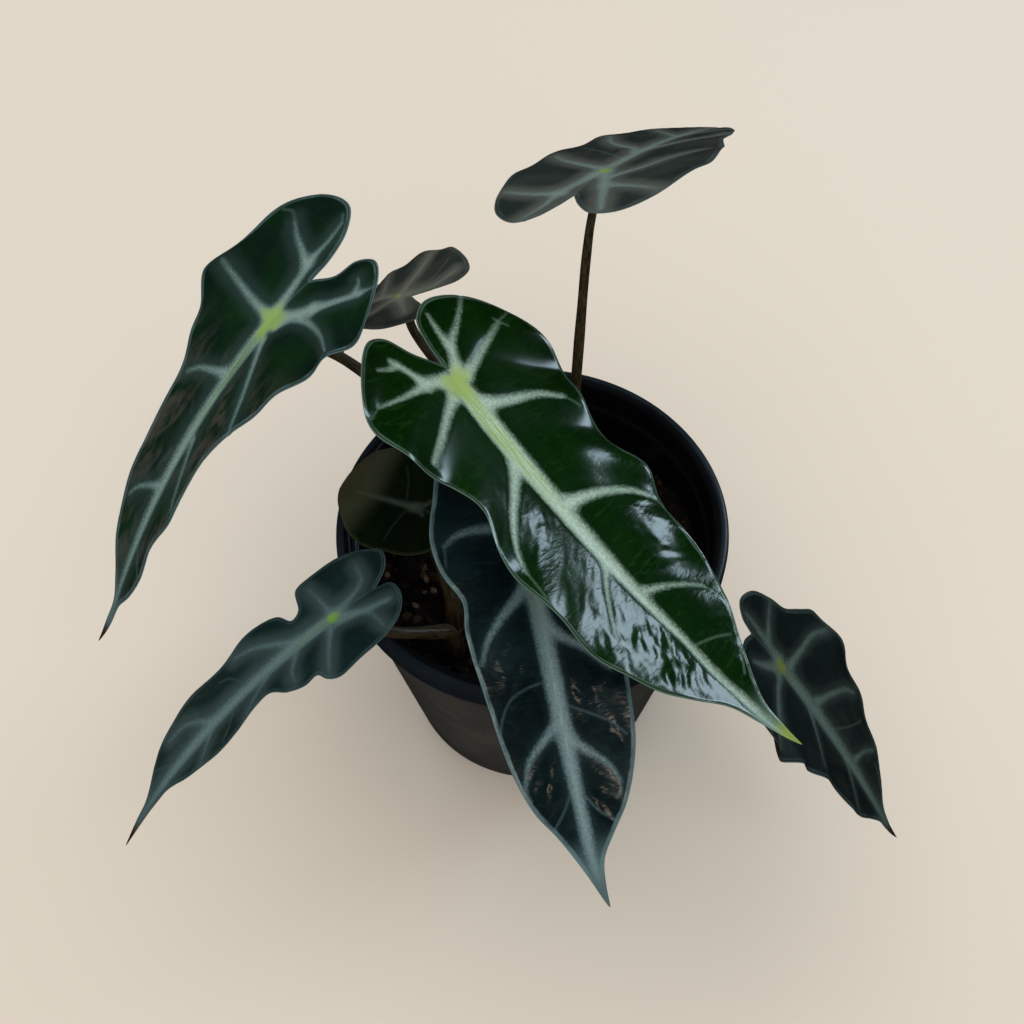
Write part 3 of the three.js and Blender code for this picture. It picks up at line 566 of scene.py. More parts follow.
def centripetal_curve(points, per_span=40):
    """Catmull-Rom curve through the points, evened out by arc length."""
    knots = [np.array(point, float) for point in points]
    knots = [2 * knots[0] - knots[1], *knots, 2 * knots[-1] - knots[-2]]
    share = np.linspace(0, 1, per_span, endpoint=False)[:, None]
    samples = []
    for k in range(1, len(knots) - 2):
        before, start, end, after = knots[k - 1 : k + 3]
        gaps = [
            max(math.sqrt(np.linalg.norm(b - a)), 1e-4)
            for a, b in ((before, start), (start, end), (end, after))
        ]
        leave = (start - before) / gaps[0] - (end - before) / (gaps[0] + gaps[1])
        leave = (leave + (end - start) / gaps[1]) * gaps[1]
        arrive = (end - start) / gaps[1] - (after - start) / (gaps[1] + gaps[2])
        arrive = (arrive + (after - end) / gaps[2]) * gaps[1]
        square = -3 * start + 3 * end - 2 * leave - arrive
        cube = 2 * start - 2 * end + leave + arrive
        samples.append(start + leave * share + square * share**2 + cube * share**3)
    samples.append(knots[-2][None])
    return np.concatenate(samples)


def arc_lengths(samples):
    steps = np.linalg.norm(np.diff(samples, axis=0), axis=1)
    return np.concatenate([[0], np.cumsum(steps)])


def along_curve(samples, shares):
    """Points at these shares of a sampled curve's length."""
    lengths = arc_lengths(samples)
    wanted = np.asarray(shares) * lengths[-1]
    return np.stack([np.interp(wanted, lengths, column) for column in samples.T], axis=-1)


def distance_to_path(points, path, widths=None):
    """Distance from 2-D points to a path, less the path's half width at the nearest place."""
    best = np.full(len(points), 1e9)
    for i in range(len(path) - 1):
        start, span = path[i], path[i + 1] - path[i]
        share = np.clip(((points - start) @ span) / max(span @ span, 1e-9), 0, 1)
        distance = np.linalg.norm(points - start - share[:, None] * span, axis=1)
        if widths is not None:
            distance = distance - (widths[i] + (widths[i + 1] - widths[i]) * share)
        best = np.minimum(best, distance)
    return best


# Blade surface


def turned(arrow, axis, angle):
    cosine, sine = math.cos(angle), math.sin(angle)
    return arrow * cosine + np.cross(axis, arrow) * sine + axis * (axis @ arrow) * (1 - cosine)


def walk_midrib(leaf, direction, length):
    """The frames [place, along, across, up] from the hub along the midrib."""
    heading, pitch = math.radians(leaf["heading"]), math.radians(leaf["pitch"])
    along = np.array(
        [
            math.cos(heading) * math.cos(pitch),
            math.sin(heading) * math.cos(pitch),
            math.sin(pitch),
        ]
    )
    across = np.array([-math.sin(heading), math.cos(heading), 0.0])
    across = turned(across, along, math.radians(leaf["roll"]))
    up = np.cross(along, across)
    place = np.array(leaf["hub"], float)
    bend = leaf["bend"]
    frames = [[place, along, across, up]]
    for i in range(math.ceil(length / MARCH)):
        ahead = direction > 0
        near_hub = (i + 0.5) * MARCH < LOBE_SWING_REACH
        droop = bend["droop"] if ahead else bend["lobe_droop"]
        sway = bend["sway"] if ahead else bend["lobe_swing"] * near_hub
        twist = bend["twist"] if ahead else 0
        half = math.radians(1) * MARCH * direction / 100 / 2
        for part in (0, 1):
            along, up = (turned(arrow, across, droop * half) for arrow in (along, up))
            along, across = (turned(arrow, up, sway * half) for arrow in (along, across))
            across, up = (turned(arrow, along, twist * half) for arrow in (across, up))
            if part == 0:
                place = place + along * MARCH * direction
        frames.append([place, along, across, up])
    return frames


class BladeSurface:
    """Maps [along midrib, across] to the upper face of a blade."""

    def __init__(self, leaf):
        self.leaf = leaf
        ends = [point[0] for point in leaf["left"] + leaf["right"]]
        behind = walk_midrib(leaf, -1, -min(ends) + 3 * MARCH)[1:][::-1]
        frames = np.array(behind + walk_midrib(leaf, 1, max(ends) + 3 * MARCH))
        self.offset = len(behind)
        self.places, self.acrosses, self.ups = frames[:, 0], frames[:, 2], frames[:, 3]
        self.length = leaf["left"][-1][0]

    def at(self, u, v):
        leaf = self.leaf
        u, v = np.asarray(u, float), np.asarray(v, float)
        position = u / MARCH + self.offset
        index = np.clip(np.floor(position).astype(int), 0, len(self.places) - 2)
        share = (position - index)[..., None]
        place, across, up = (
            table[index] + (table[index + 1] - table[index]) * share
            for table in (self.places, self.acrosses, self.ups)
        )
        is_left = v >= 0
        distance = np.abs(v)

        def by_side(pair):
            return np.where(is_left, pair["left"], pair["right"])

        fold = np.radians(by_side(leaf["fold"]))
        curl = np.radians(by_side(leaf["curl"])) / 25
        outward = (np.sin(fold + curl * distance) - np.sin(fold)) / curl
        upward = (np.cos(fold) - np.cos(fold + curl * distance)) / curl
        ripple = leaf["ripple"]
        slanted = u - RIPPLE_SLANT * distance
        wave = np.sin(2 * np.pi * slanted / ripple["length"] + np.radians(by_side(ripple)))
        lift = upward + ripple["height"] * wave * (distance / RIPPLE_REACH) ** 2
        hook = leaf["hook"]
        hooked = np.maximum(u - (self.length - hook["length"]), 0) / hook["length"]
        sideways = np.sign(v) * outward + hook["shift"] * hooked**2
        return place + across * sideways[..., None] + up * lift[..., None]

    def normal(self, u, v):
        reach = 0.5
        along = self.at(u + reach, v) - self.at(u - reach, v)
        across = self.at(u, v + reach) - self.at(u, v - reach)
        normal = np.cross(along, across)
        return normal / np.linalg.norm(normal, axis=-1, keepdims=True)


def split_at_lobe(points):
    """A half outline as its notch edge, from the lobe inwards, and its margin to the tip."""
    samples = centripetal_curve(points)
    back = int(np.argmin(samples[:, 0]))
    return samples[: back + 1][::-1], samples[back:]


def half_blade_grid(points, spacing):
    """Rows of [along, across] points over one half, from the back of the lobe to the tip."""
    notch, margin = split_at_lobe(points)
    bottom, tip = notch[-1], margin[-1]
    notch_length = arc_lengths(notch)[-1]
    midrib_length = np.linalg.norm(tip - bottom)
    widest = max(abs(point[1]) for point in points)
    notch_rows = math.ceil(notch_length / spacing)
    midrib_rows = math.ceil(midrib_length / spacing)
    columns = math.ceil(widest / spacing)
    notch_share = np.linspace(0, 1, notch_rows + 1)
    midrib_share = np.linspace(0, 1, midrib_rows + 1)[1:]
    inner = np.concatenate(
        [along_curve(notch, notch_share), bottom + (tip - bottom) * midrib_share[:, None]]
    )
    travelled = np.concatenate(
        [notch_length * notch_share, notch_length + midrib_length * midrib_share]
    )
    outer = along_curve(margin, travelled / (notch_length + midrib_length))
    shares = np.linspace(0, 1, columns + 1)[None, :, None]
    return inner[:, None] + (outer - inner)[:, None] * shares


def vein_fields(name, length, points):
    """Signed distances in mm, positive inside: all wide veins, the midrib alone, hairlines."""
    markings = VEINS[name]
    stations = np.linspace(0, length, 40)
    middle = np.interp(stations, *np.transpose(markings["midrib"]))
    ahead = np.stack([stations, 0 * stations], axis=-1)
    midrib = -distance_to_path(points, ahead, middle)
    total = np.exp(np.clip(midrib / VEIN_BLEND, -40, 40))
    for from_width, to_width, corners in markings["veins"]:
        path = centripetal_curve(corners, 8)
        travelled = arc_lengths(path)
        share = travelled / travelled[-1]
        half_widths = to_width + (from_width - to_width) * (1 - share) ** VEIN_TAPER
        root = VEIN_ROOT["share"] * from_width * np.exp(-travelled / VEIN_ROOT["reach"])
        half_widths = half_widths + root
        field = -distance_to_path(points, path, half_widths)
        total += np.exp(np.clip(field / VEIN_BLEND, -40, 40))
    wide = VEIN_BLEND * np.log(total + 1e-12)
    start = LEAVES[name]["left"][0][0]
    stub = np.array([[start, 0.0], [0.0, 0.0]])
    thin = -distance_to_path(points, stub, [0.1, 0.8])
    for corners in markings["threads"]:
        thread = THREAD_HALF_WIDTH - distance_to_path(points, centripetal_curve(corners, 8))
        thin = np.maximum(thin, thread)
    return (np.maximum(field, FIELD_END) for field in (wide, midrib, thin))


# Meshes


def add_mesh(name, points, faces, material, smooth=True, attributes=None):
    """Makes a mesh piece from points in millimetres."""
    mesh = bpy.data.meshes.new(name)
    mesh.from_pydata((np.asarray(points) * MM).tolist(), [], [list(face) for face in faces])
    for key, values in (attributes or {}).items():
        values = np.asarray(values, np.float32)
        if values.ndim == 1:
            layer = mesh.attributes.new(key, "FLOAT", "POINT")
            layer.data.foreach_set("value", values)
        else:
            layer = mesh.attributes.new(key, "FLOAT_VECTOR", "POINT")
            layer.data.foreach_set("vector", values.ravel())
    mesh.polygons.foreach_set("use_smooth", [smooth] * len(mesh.polygons))
    mesh.materials.append(material)
    mesh.update()
    piece = bpy.data.objects.new(name, mesh)
    bpy.context.scene.collection.objects.link(piece)
    return piece


def dress(piece, slot, *nodes):
    """Rides on the one body and stands for these CAD nodes; the slot is not used."""
    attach(piece, "root")
    if nodes:
        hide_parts(*nodes)


def blade_relief(name, points, wide, thin, edge):
    """Height of the upper face over the smooth surface: sunken veins, puffed fields between."""
    look = LOOKS[name]
    u, v = points.T
    distance = np.abs(v)
    inwards = np.maximum(edge, 0)
    height = PUFF["height"] * (1 - np.exp(-np.maximum(-wide, 0) / PUFF["reach"]))
    height = height * (1 - np.exp(-inwards / PUFF["from_edge"]))
    for along, across, rise in VEINS[name].get("swells", []):
        reach = ((u - along) ** 2 + (v - across) ** 2) / SWELL_REACH**2
        height += rise * np.exp(-reach) * (1 - np.exp(-inwards / 2.5))
    slanted = u - RIPPLE_SLANT * distance
    strength = smoothstep(u, *look["wrinkled_from"])
    between = 1 - np.exp(-np.maximum(-wide, 0) / 1.2)
    flat = np.zeros(len(u))
    wrinkles = 0
    for ridges in WRINKLES:
        steps = [slanted * ridges["along"], v * ridges["across"], flat + ridges["start"]]
        noise = layered_noise(np.stack(steps, axis=-1), ridges["seed"], ridges["layers"])
        wrinkles = wrinkles + ridges["share"] * noise
    height += look["wrinkle"] * strength * between * wrinkles
    for along, across, reach, rise, spacing in VEINS[name].get("puckers", []):
        nearness = np.exp(-((u - along) ** 2 + (v - across) ** 2) / reach**2)
        place = np.stack([slanted / spacing, v / spacing * PUCKER_STRETCH, flat + along], axis=-1)
        folds = layered_noise(place, PUCKER_SEED, 2)
        height += rise * nearness * between * folds * (1 - np.exp(-inwards / 1.5))
    height -= VEIN_SINK * smoothstep(wide, -0.8, 0.9)
    height -= THREAD_SINK * smoothstep(thin, -0.4, 0.25)
    return height


def weld_halves(grids):
    """All points of both halves, once each, and the faces between them."""
    flat = np.concatenate([grid.reshape(-1, 2) for grid in grids])
    keys = np.round(flat, 3) + 0.0
    _, first, inverse = np.unique(keys, axis=0, return_index=True, return_inverse=True)
    inverse = inverse.ravel()
    quads = []
    offset = 0
    for grid, side in zip(grids, (1, -1)):
        rows, columns = grid.shape[:2]
        numbers = inverse[offset : offset + rows * columns].reshape(rows, columns)
        offset += rows * columns
        corners = [numbers[:-1, :-1], numbers[1:, :-1], numbers[1:, 1:], numbers[:-1, 1:]]
        quads.append(np.stack([corner.ravel() for corner in corners[::side]], axis=-1))
    faces = []
    for quad in np.concatenate(quads).tolist():
        face = [corner for i, corner in enumerate(quad) if corner != quad[i - 1]]
        if len(set(face)) == len(face) and len(face) > 2:
            faces.append(face)
    return flat[first], faces


def open_edges(faces):
    """The boundary of a sheet: the next corner after each one."""
    edges = {(face[i - 1], corner) for face in faces for i, corner in enumerate(face)}
    return {a: b for a, b in edges if (b, a) not in edges}


def make_blade(name):
    leaf = LEAVES[name]
    surface = BladeSurface(leaf)
    halves = [half_blade_grid(leaf[side], leaf["spacing"]) for side in ("left", "right")]
    points, faces = weld_halves(halves)
    count = len(points)

    outline = [centripetal_curve(leaf[side]) for side in ("left", "right")]
    edge = np.minimum(*(distance_to_path(points, path[::4]) for path in outline))
    edge = np.minimum(edge, distance_to_path(points, outline[0][-3:]))
    wide, midrib, thin = vein_fields(name, surface.length, points)
    u, v = points.T
    base = surface.at(u, v)
    normal = surface.normal(u, v)
    relief = blade_relief(name, points, wide, thin, edge)
    rolled = ROLLED_EDGE["depth"] * (1 - smoothstep(edge, 0, ROLLED_EDGE["reach"])) ** 2
    top = base + normal * (relief - rolled)[:, None]

    along = np.clip(u / surface.length, 0, 1)
    keel = (KEEL["at_hub"] + (KEEL["at_tip"] - KEEL["at_hub"]) * along) * (u >= -1)
    ridge = keel * np.exp(-((v / KEEL["half_width"]) ** 2) * 1.6) * smoothstep(u, -3, 1)
    nerves = NERVE_HEIGHT * smoothstep(wide, -0.9, 0.5) * (1 - np.exp(-np.abs(v) / 2))
    thickness = BLADE_THICKNESS * (0.55 + 0.45 * smoothstep(edge, 0, 2.5))
    bottom = base + normal * (relief * 0.9 - thickness - ridge - nerves + rolled)[:, None]

    boundary = open_edges(faces)
    ring = sorted(boundary)
    place_in_ring = {corner: i for i, corner in enumerate(ring)}
    before = {b: a for a, b in boundary.items()}
    ahead_of = [boundary[corner] for corner in ring]
    behind_of = [before[corner] for corner in ring]
    tangent = base[ahead_of] - base[behind_of]
    outward = np.cross(tangent, normal[ring])
    outward /= np.linalg.norm(outward, axis=1, keepdims=True)
    middle = (top[ring] + bottom[ring]) / 2 + outward * RIM_ROUNDING

    all_points = np.concatenate([top, bottom, middle])
    all_faces = faces + [[corner + count for corner in reversed(face)] for face in faces]
    for a, b in boundary.items():
        rim_a, rim_b = 2 * count + place_in_ring[a], 2 * count + place_in_ring[b]
        all_faces.append([b, a, rim_a, rim_b])
        all_faces.append([rim_b, rim_a, a + count, b + count])

    def everywhere(values):
        return np.concatenate([values, values, values[ring]])

    attributes = {
        "wide": everywhere(wide),
        "midrib": everywhere(midrib),
        "thin": everywhere(thin),
        "edge": everywhere(edge),
        "under": np.concatenate([np.zeros(count), np.ones(count), np.full(len(ring), 0.5)]),
        "leafplace": np.stack(
            [everywhere(u), everywhere(v), everywhere(0 * u + len(name) * 7.0)], axis=-1
        ),
    }
    piece = add_mesh(
        f"leaf_{name}", all_points, all_faces, leaf_material(name), attributes=attributes
    )
    dress(piece, leaf["slot"], f"blade_{name}")


# Petioles


def foot_of(petiole):
    turn = math.radians(petiole["angle"])
    crown = petiole["crown"]
    reach = crown["ring"]
    return crown["x"] + reach * math.cos(turn), crown["y"] + reach * math.sin(turn)


def petiole_path(leaf):
    surface = BladeSurface(leaf)
    hub = surface.at(0.0, 0.0)
    normal = surface.normal(0.0, 0.0)
    x, y = foot_of(leaf["petiole"])
    corners = [
        [x, y, SOIL_TOP - BURIED],
        [x, y, SOIL_TOP - BURIED / 2],
        [x, y, SOIL_TOP + 1],
        *leaf["petiole"]["via"],
        hub - normal * GENICULUM,
        hub - normal * (BLADE_THICKNESS + 0.2),
    ]
    return centripetal_curve(corners)


def swept_tube(path, radius_at, steps, sides, start_side):
    """Rings of points round a path, carried along without twist."""
    shares = np.linspace(0, 1, steps + 1)
    centres = along_curve(path, shares)
    tangents = np.gradient(centres, axis=0)
    tangents /= np.linalg.norm(tangents, axis=1, keepdims=True)
    turns = np.linspace(0, 2 * np.pi, sides, endpoint=False)
    side = np.array(start_side, float)
    rings = []
    for share, centre, tangent in zip(shares, centres, tangents):
        side = side - tangent * (side @ tangent)
        side = side / np.linalg.norm(side)
        other = np.cross(tangent, side)
        radius = radius_at(share, centre, turns)
        rings.append(
            centre
            + side * (radius * np.cos(turns))[:, None]
            + other * (radius * np.sin(turns))[:, None]
        )
    return np.array(rings), shares, turns


def tube_faces(steps, sides):
    faces = []
    for i in range(steps):
        for k in range(sides):
            after = (k + 1) % sides
            faces.append(
                [i * sides + k, i * sides + after, (i + 1) * sides + after, (i + 1) * sides + k]
            )
    faces.append(list(range(sides))[::-1])
    faces.append([steps * sides + k for k in range(sides)])
    return faces


def make_petiole(name):
    leaf = LEAVES[name]
    petiole = leaf["petiole"]
    path = petiole_path(leaf)
    length = arc_lengths(path)[-1]
    crown = petiole["crown"]
    x, y = foot_of(petiole)
    inwards = np.array([crown["x"] - x, crown["y"] - y, 0.0])
    sheath_top = SOIL_TOP + SHEATH_HEIGHT

    def radius_at(share, centre, turns):
        height = centre[2]
        slim = smoothstep(height, SOIL_TOP + 1, sheath_top)
        rise = np.clip((height - sheath_top) / (leaf["hub"][2] - sheath_top), 0, 1)
        slender = petiole["stem_radius"] + (petiole["top_radius"] - petiole["stem_radius"]) * rise
        radius = petiole["base_radius"] + (slender - petiole["base_radius"]) * slim
        to_end = (1 - share) * length
        from_joint = (to_end - STALK_JOINT["at"]) / STALK_JOINT["reach"]
        joint = STALK_JOINT["swell"] * math.exp(-from_joint**2)
        flare = STALK_FLARE["swell"] * math.exp(-to_end / STALK_FLARE["reach"])
        wobble = 0.03 * math.sin(share * length * 0.21 + crown["x"])
        sheath = (1 - slim) * smoothstep(height, SOIL_TOP - 6, SOIL_TOP + 2)
        off = (turns + np.pi) % (2 * np.pi) - np.pi
        groove = -0.32 * np.exp(-((off / 0.34) ** 2))
        wings = 0.17 * np.exp(-(((np.abs(off) - 0.62) / 0.16) ** 2))
        flattened = -0.05 * np.exp(-((off / 0.8) ** 2))
        return radius * (1 + joint + flare + wobble + flattened + sheath * (groove + wings))

    steps = math.ceil(length / STALK_STEP)
    rings, shares, turns = swept_tube(path, radius_at, steps, STALK_SIDES, inwards)
    points = rings.reshape(-1, 3)
    run = np.repeat(shares * length, STALK_SIDES)
    side, other = (
        np.tile(part(turns), steps + 1) * petiole["top_radius"] for part in (np.cos, np.sin)
    )
    attributes = {
        "to_end": length - run,
        "height": points[:, 2],
        "stemplace": np.stack([run, side, other + len(name) * 5.0], axis=-1),
    }
    piece = add_mesh(
        f"stalk_{name}",
        points,
        tube_faces(steps, STALK_SIDES),
        petiole_material(),
        attributes=attributes,
    )
    dress(piece, "petiole", f"petiole_{name}")


# Pot


def outer_wall_radius(z):
    top = RIM_RADIUS - LIP_OVERHANG
    return BASE_RADIUS + (top - BASE_RADIUS) * z / (POT_HEIGHT - LIP_HEIGHT)


def inner_wall_radius(z):
    return outer_wall_radius(z) - WALL


def rounded_profile(corners, steps=5):
    """Replaces each [radius, height, rounding] corner by a small arc."""
    rounded = []
    for i, (radius, height, rounding) in enumerate(corners):
        corner = np.array([radius, height], float)
        if rounding == 0:
            rounded.append(corner)
            continue
        before = np.array(corners[i - 1][:2], float) - corner
        after = np.array(corners[i + 1][:2], float) - corner
        reach = min(rounding, np.linalg.norm(before) * 0.45, np.linalg.norm(after) * 0.45)
        start = corner + before / np.linalg.norm(before) * reach
        end = corner + after / np.linalg.norm(after) * reach
        for share in np.linspace(0, 1, steps):
            rounded.append(
                start * (1 - share) ** 2 + corner * 2 * share * (1 - share) + end * share**2
            )
    return np.array(rounded)


def lathe(profile, segments):
    """A closed body turned about +Z, from a profile that starts and ends on the axis."""
    turns = np.linspace(0, 2 * np.pi, segments, endpoint=False)
    ring_profile = profile[1:-1]
    points = [[0, 0, profile[0][1]]]
    for radius, height in ring_profile:
        ring = np.stack(
            [radius * np.cos(turns), radius * np.sin(turns), np.full(segments, height)], axis=-1
        )
        points.extend(ring.tolist())
    points.append([0, 0, profile[-1][1]])
    last = len(points) - 1
    faces = []
    for k in range(segments):
        after = (k + 1) % segments
        faces.append([0, 1 + after, 1 + k])
        for i in range(len(ring_profile) - 1):
            low, high = 1 + i * segments, 1 + (i + 1) * segments
            faces.append([low + k, low + after, high + after, high + k])
        top = 1 + (len(ring_profile) - 1) * segments
        faces.append([top + k, top + after, last])
    return points, faces


def make_pot():
    lip_bottom = POT_HEIGHT - LIP_HEIGHT
    rim_inner = RIM_RADIUS - LIP_WIDTH
    ledge_top = POT_HEIGHT - LEDGE_DEPTH
    corners = [
        (0, 0.8, 0),
        (BASE_RADIUS - 7, 0.8, 0.5),
        (BASE_RADIUS - 6.4, 0, 0.4),
        (BASE_RADIUS, 0, 1.3),
        (outer_wall_radius(lip_bottom / 2), lip_bottom / 2, 0),
        (outer_wall_radius(lip_bottom), lip_bottom, 0.7),
        (RIM_RADIUS - 0.1, lip_bottom, 0.9),
        (RIM_RADIUS, POT_HEIGHT, 2.2),
        (rim_inner, POT_HEIGHT, 1.6),
        (rim_inner - 0.3, ledge_top, 0.6),
        (rim_inner - LEDGE_WIDTH, ledge_top - 0.6, 0.7),
        (inner_wall_radius(ledge_top - 6), ledge_top - 6, 1.5),
        (inner_wall_radius(FLOOR), FLOOR, 3),
        (0, FLOOR, 0),
    ]
    points, faces = lathe(rounded_profile(corners), 240)
    finish = pot_material()
    pot = add_mesh("pot_body", points, faces, finish)
    cutters = []
    for i in range(DRAIN_HOLE["count"]):
        turn = 2 * math.pi * (i + 0.5) / DRAIN_HOLE["count"]
        bpy.ops.mesh.primitive_cylinder_add(
            vertices=48,
            radius=DRAIN_HOLE["radius"] * MM,
            depth=DRAIN_HOLE["cut"] * MM,
            location=(
                DRAIN_HOLE["ring"] * math.cos(turn) * MM,
                DRAIN_HOLE["ring"] * math.sin(turn) * MM,
                0,
            ),
        )
        cutters.append(bpy.context.object)
    for cutter in cutters:
        cut = pot.modifiers.new("drain", "BOOLEAN")
        cut.object = cutter
        cut.solver = "EXACT"
    apply_modifiers(pot)
    for cutter in cutters:
        bpy.data.objects.remove(cutter)
    pot.data.materials.clear()
    pot.data.materials.append(finish)
    shade_by_angle(pot, 40)
    dress(pot, "pot", "pot")


def apply_modifiers(piece):
    bpy.context.view_layer.update()
    evaluated = piece.evaluated_get(bpy.context.evaluated_depsgraph_get())
    mesh = bpy.data.meshes.new_from_object(evaluated)
    piece.modifiers.clear()
    piece.data = mesh


def shade_by_angle(piece, degrees):
    mesh = piece.data
    mesh.polygons.foreach_set("use_smooth", [True] * len(mesh.polygons))
    mesh.set_sharp_from_angle(angle=math.radians(degrees))


# Soil and rhizomes

# Loose bits on the soil. level: how finely each is cut. tones: from dark earth to pale grit.
BITS = {
    "bark_chips": {
        "count": 230, "sizes": (1.4, 4.6), "flatness": 0.4, "level": 2, "seed": 7,
        "tones": (0.0, 0.75),
    },
    "soil_crumbs": {
        "count": 1500, "sizes": (0.35, 1.3), "flatness": 0.9, "level": 1, "seed": 8,
        "tones": (0.0, 0.55),
    },
    "pale_grains": {
        "count": 46, "sizes": (0.6, 1.5), "flatness": 0.9, "level": 2, "seed": 9,
        "tones": (0.8, 1.0),
    },
}


def soil_height(x, y):
    wave = np.sin(x * 0.31 + 1.3) * np.cos(y * 0.27 - 0.6) + np.sin(x * 0.13 + y * 0.19)
    return SOIL_TOP + SOIL_BUMP * 0.5 * wave - 0.0009 * (x * x + y * y)


def crumbly_height(x, y):
    place = np.stack([x, y, np.zeros_like(x)], axis=-1)
    lumps = layered_noise(place * 0.22, 21, 3)
    crumbs = layered_noise(place * 0.9, 31, 2)
    return soil_height(x, y) + 1.3 * lumps + 0.55 * crumbs


def make_soil():
    edge_radius = inner_wall_radius(SOIL_TOP) - 0.1
    rings, segments = 88, 300
    turns = np.linspace(0, 2 * np.pi, segments, endpoint=False)
    points = [[0, 0, float(crumbly_height(np.array(0.0), np.array(0.0)))]]
    for i in range(1, rings + 1):
        radius = edge_radius * i / rings
        x, y = radius * np.cos(turns), radius * np.sin(turns)
        points.extend(np.stack([x, y, crumbly_height(x, y)], axis=-1).tolist())
    low = [
        (inner_wall_radius(40) - GAP, 40),
        (inner_wall_radius(FLOOR + 3) - GAP, FLOOR + 3 + GAP),
        (inner_wall_radius(FLOOR) - 1.5 - GAP, FLOOR + GAP),
    ]
    for radius, height in low:
        ring = np.stack(
            [radius * np.cos(turns), radius * np.sin(turns), np.full(segments, height)], axis=-1
        )
        points.extend(ring.tolist())
    points.append([0, 0, FLOOR + GAP])
    total = rings + len(low)
    faces = []
    for k in range(segments):
        after = (k + 1) % segments
        faces.append([0, 1 + k, 1 + after])
        for i in range(total - 1):
            inner, outer = 1 + i * segments, 1 + (i + 1) * segments
            faces.append([inner + k, outer + k, outer + after, inner + after])
        last = 1 + (total - 1) * segments
        faces.append([last + k, len(points) - 1, last + after])
    piece = add_mesh("soil_bed", points, faces, soil_material())
    dress(piece, "soil", "soil")


def unit_ball(level):
    """Points and faces of a ball made of triangles."""
    bpy.ops.mesh.primitive_ico_sphere_add(subdivisions=level, radius=1)
    ball = bpy.context.object
    points = np.array([vertex.co for vertex in ball.data.vertices])
    faces = np.array([list(polygon.vertices) for polygon in ball.data.polygons])
    bpy.data.objects.remove(ball)
    return points, faces


def random_turn(draw):
    """A random rotation matrix."""
    quarters = draw.normal(size=4)
    w, x, y, z = quarters / np.linalg.norm(quarters)
    return np.array(
        [
            [1 - 2 * (y * y + z * z), 2 * (x * y - z * w), 2 * (x * z + y * w)],
            [2 * (x * y + z * w), 1 - 2 * (x * x + z * z), 2 * (y * z - x * w)],
            [2 * (x * z - y * w), 2 * (y * z + x * w), 1 - 2 * (x * x + y * y)],
        ]
    )


def stems_clearance(x, y):
    feet = [foot_of(leaf["petiole"]) for leaf in LEAVES.values()]
    feet += [(crown["x"], crown["y"]) for crown in (MAIN_CROWN, FRONT_CROWN)]
    return min(math.hypot(x - fx, y - fy) for fx, fy in feet)


def make_bits(name, count, sizes, flatness, level, seed, tones):
    """Many irregular bits lying on the soil, as one piece."""
    draw = random_numbers(seed)
    ball, ball_faces = unit_ball(level)
    limit = inner_wall_radius(SOIL_TOP) - 1.5
    all_points, all_faces, all_tones = [], [], []
    total = 0
    while total < count:
        radius = limit * math.sqrt(draw.random())
        turn = draw.random() * 2 * math.pi
        x, y = radius * math.cos(turn), radius * math.sin(turn)
        size = sizes[0] + (sizes[1] - sizes[0]) * draw.random() ** 2
        tone = tones[0] + (tones[1] - tones[0]) * draw.random()
        if stems_clearance(x, y) < 4 + size or radius + size > limit + 1:
            continue
        lump = 1 + 0.32 * smooth_noise(ball * 1.4 + total * 3.7, seed)
        stretch = np.array([1, 0.55 + 0.4 * draw.random(), flatness * (0.6 + 0.6 * draw.random())])
        tilt = random_turn(draw) if flatness > 0.7 else tilted_turn(draw)
        shape = (ball * lump[:, None] * stretch * size) @ tilt.T
        ground = float(crumbly_height(np.array(x), np.array(y)))
        shape += [x, y, ground + size * flatness * 0.25]
        all_faces.append(ball_faces + total * len(ball))
        all_points.append(shape)
        all_tones.append(np.full(len(ball), tone))
        total += 1
    return add_mesh(
        name,
        np.concatenate(all_points),
        np.concatenate(all_faces).tolist(),
        bits_material(),
        smooth=False,
        attributes={"tone": np.concatenate(all_tones)},
    )


def tilted_turn(draw):
    """A random turn about the vertical with a small tilt."""
    turn = draw.random() * 2 * math.pi
    tilt = (draw.random() - 0.5) * 0.9
    spin = np.array(
        [
            [math.cos(turn), -math.sin(turn), 0],
            [math.sin(turn), math.cos(turn), 0],
            [0, 0, 1],
        ]
    )
    lean = np.array(
        [
            [1, 0, 0],
            [0, math.cos(tilt), -math.sin(tilt)],
            [0, math.sin(tilt), math.cos(tilt)],
        ]
    )
    return spin @ lean


def make_rhizome(name, node, crown):
    profile = [
        (0, SOIL_TOP - BURIED),
        (crown["radius"] * 0.6, SOIL_TOP - BURIED),
        (crown["radius"] * 0.9, SOIL_TOP - BURIED + 4),
        (crown["radius"], SOIL_TOP - 2),
    ]
    heights = np.linspace(SOIL_TOP - 1.6, SOIL_TOP + CROWN_RISE - 0.8, 26)
    for height in heights:
        share = (height - heights[0]) / (heights[-1] - heights[0])
        scar = 0.09 * abs(math.sin(share * math.pi * 4.5))
        profile.append((crown["radius"] * (1.0 - 0.42 * share**2.2 - scar), height))
    profile.append((0, SOIL_TOP + CROWN_RISE))
    points, faces = lathe(np.array(profile), 64)
    points = np.array(points) + [crown["x"], crown["y"], 0]
    bumps = layered_noise(points * 0.8, 41, 3)
    outward = points - [crown["x"], crown["y"], 0]
    outward[:, 2] = 0
    outward /= np.maximum(np.linalg.norm(outward, axis=1, keepdims=True), 1e-6)
    points = points + outward * (0.22 * bumps)[:, None]
    piece = add_mesh(name, points, faces, rhizome_material())
    dress(piece, "rhizome", node)


# Materials


def colour(red, green, blue):
    """Display colour from 0 to 255 as Blender's linear colour."""
    linear = []
    for channel in (red, green, blue):
        share = channel / 255
        linear.append(share / 12.92 if share <= 0.04045 else ((share + 0.055) / 1.055) ** 2.4)
    return (*linear, 1.0)


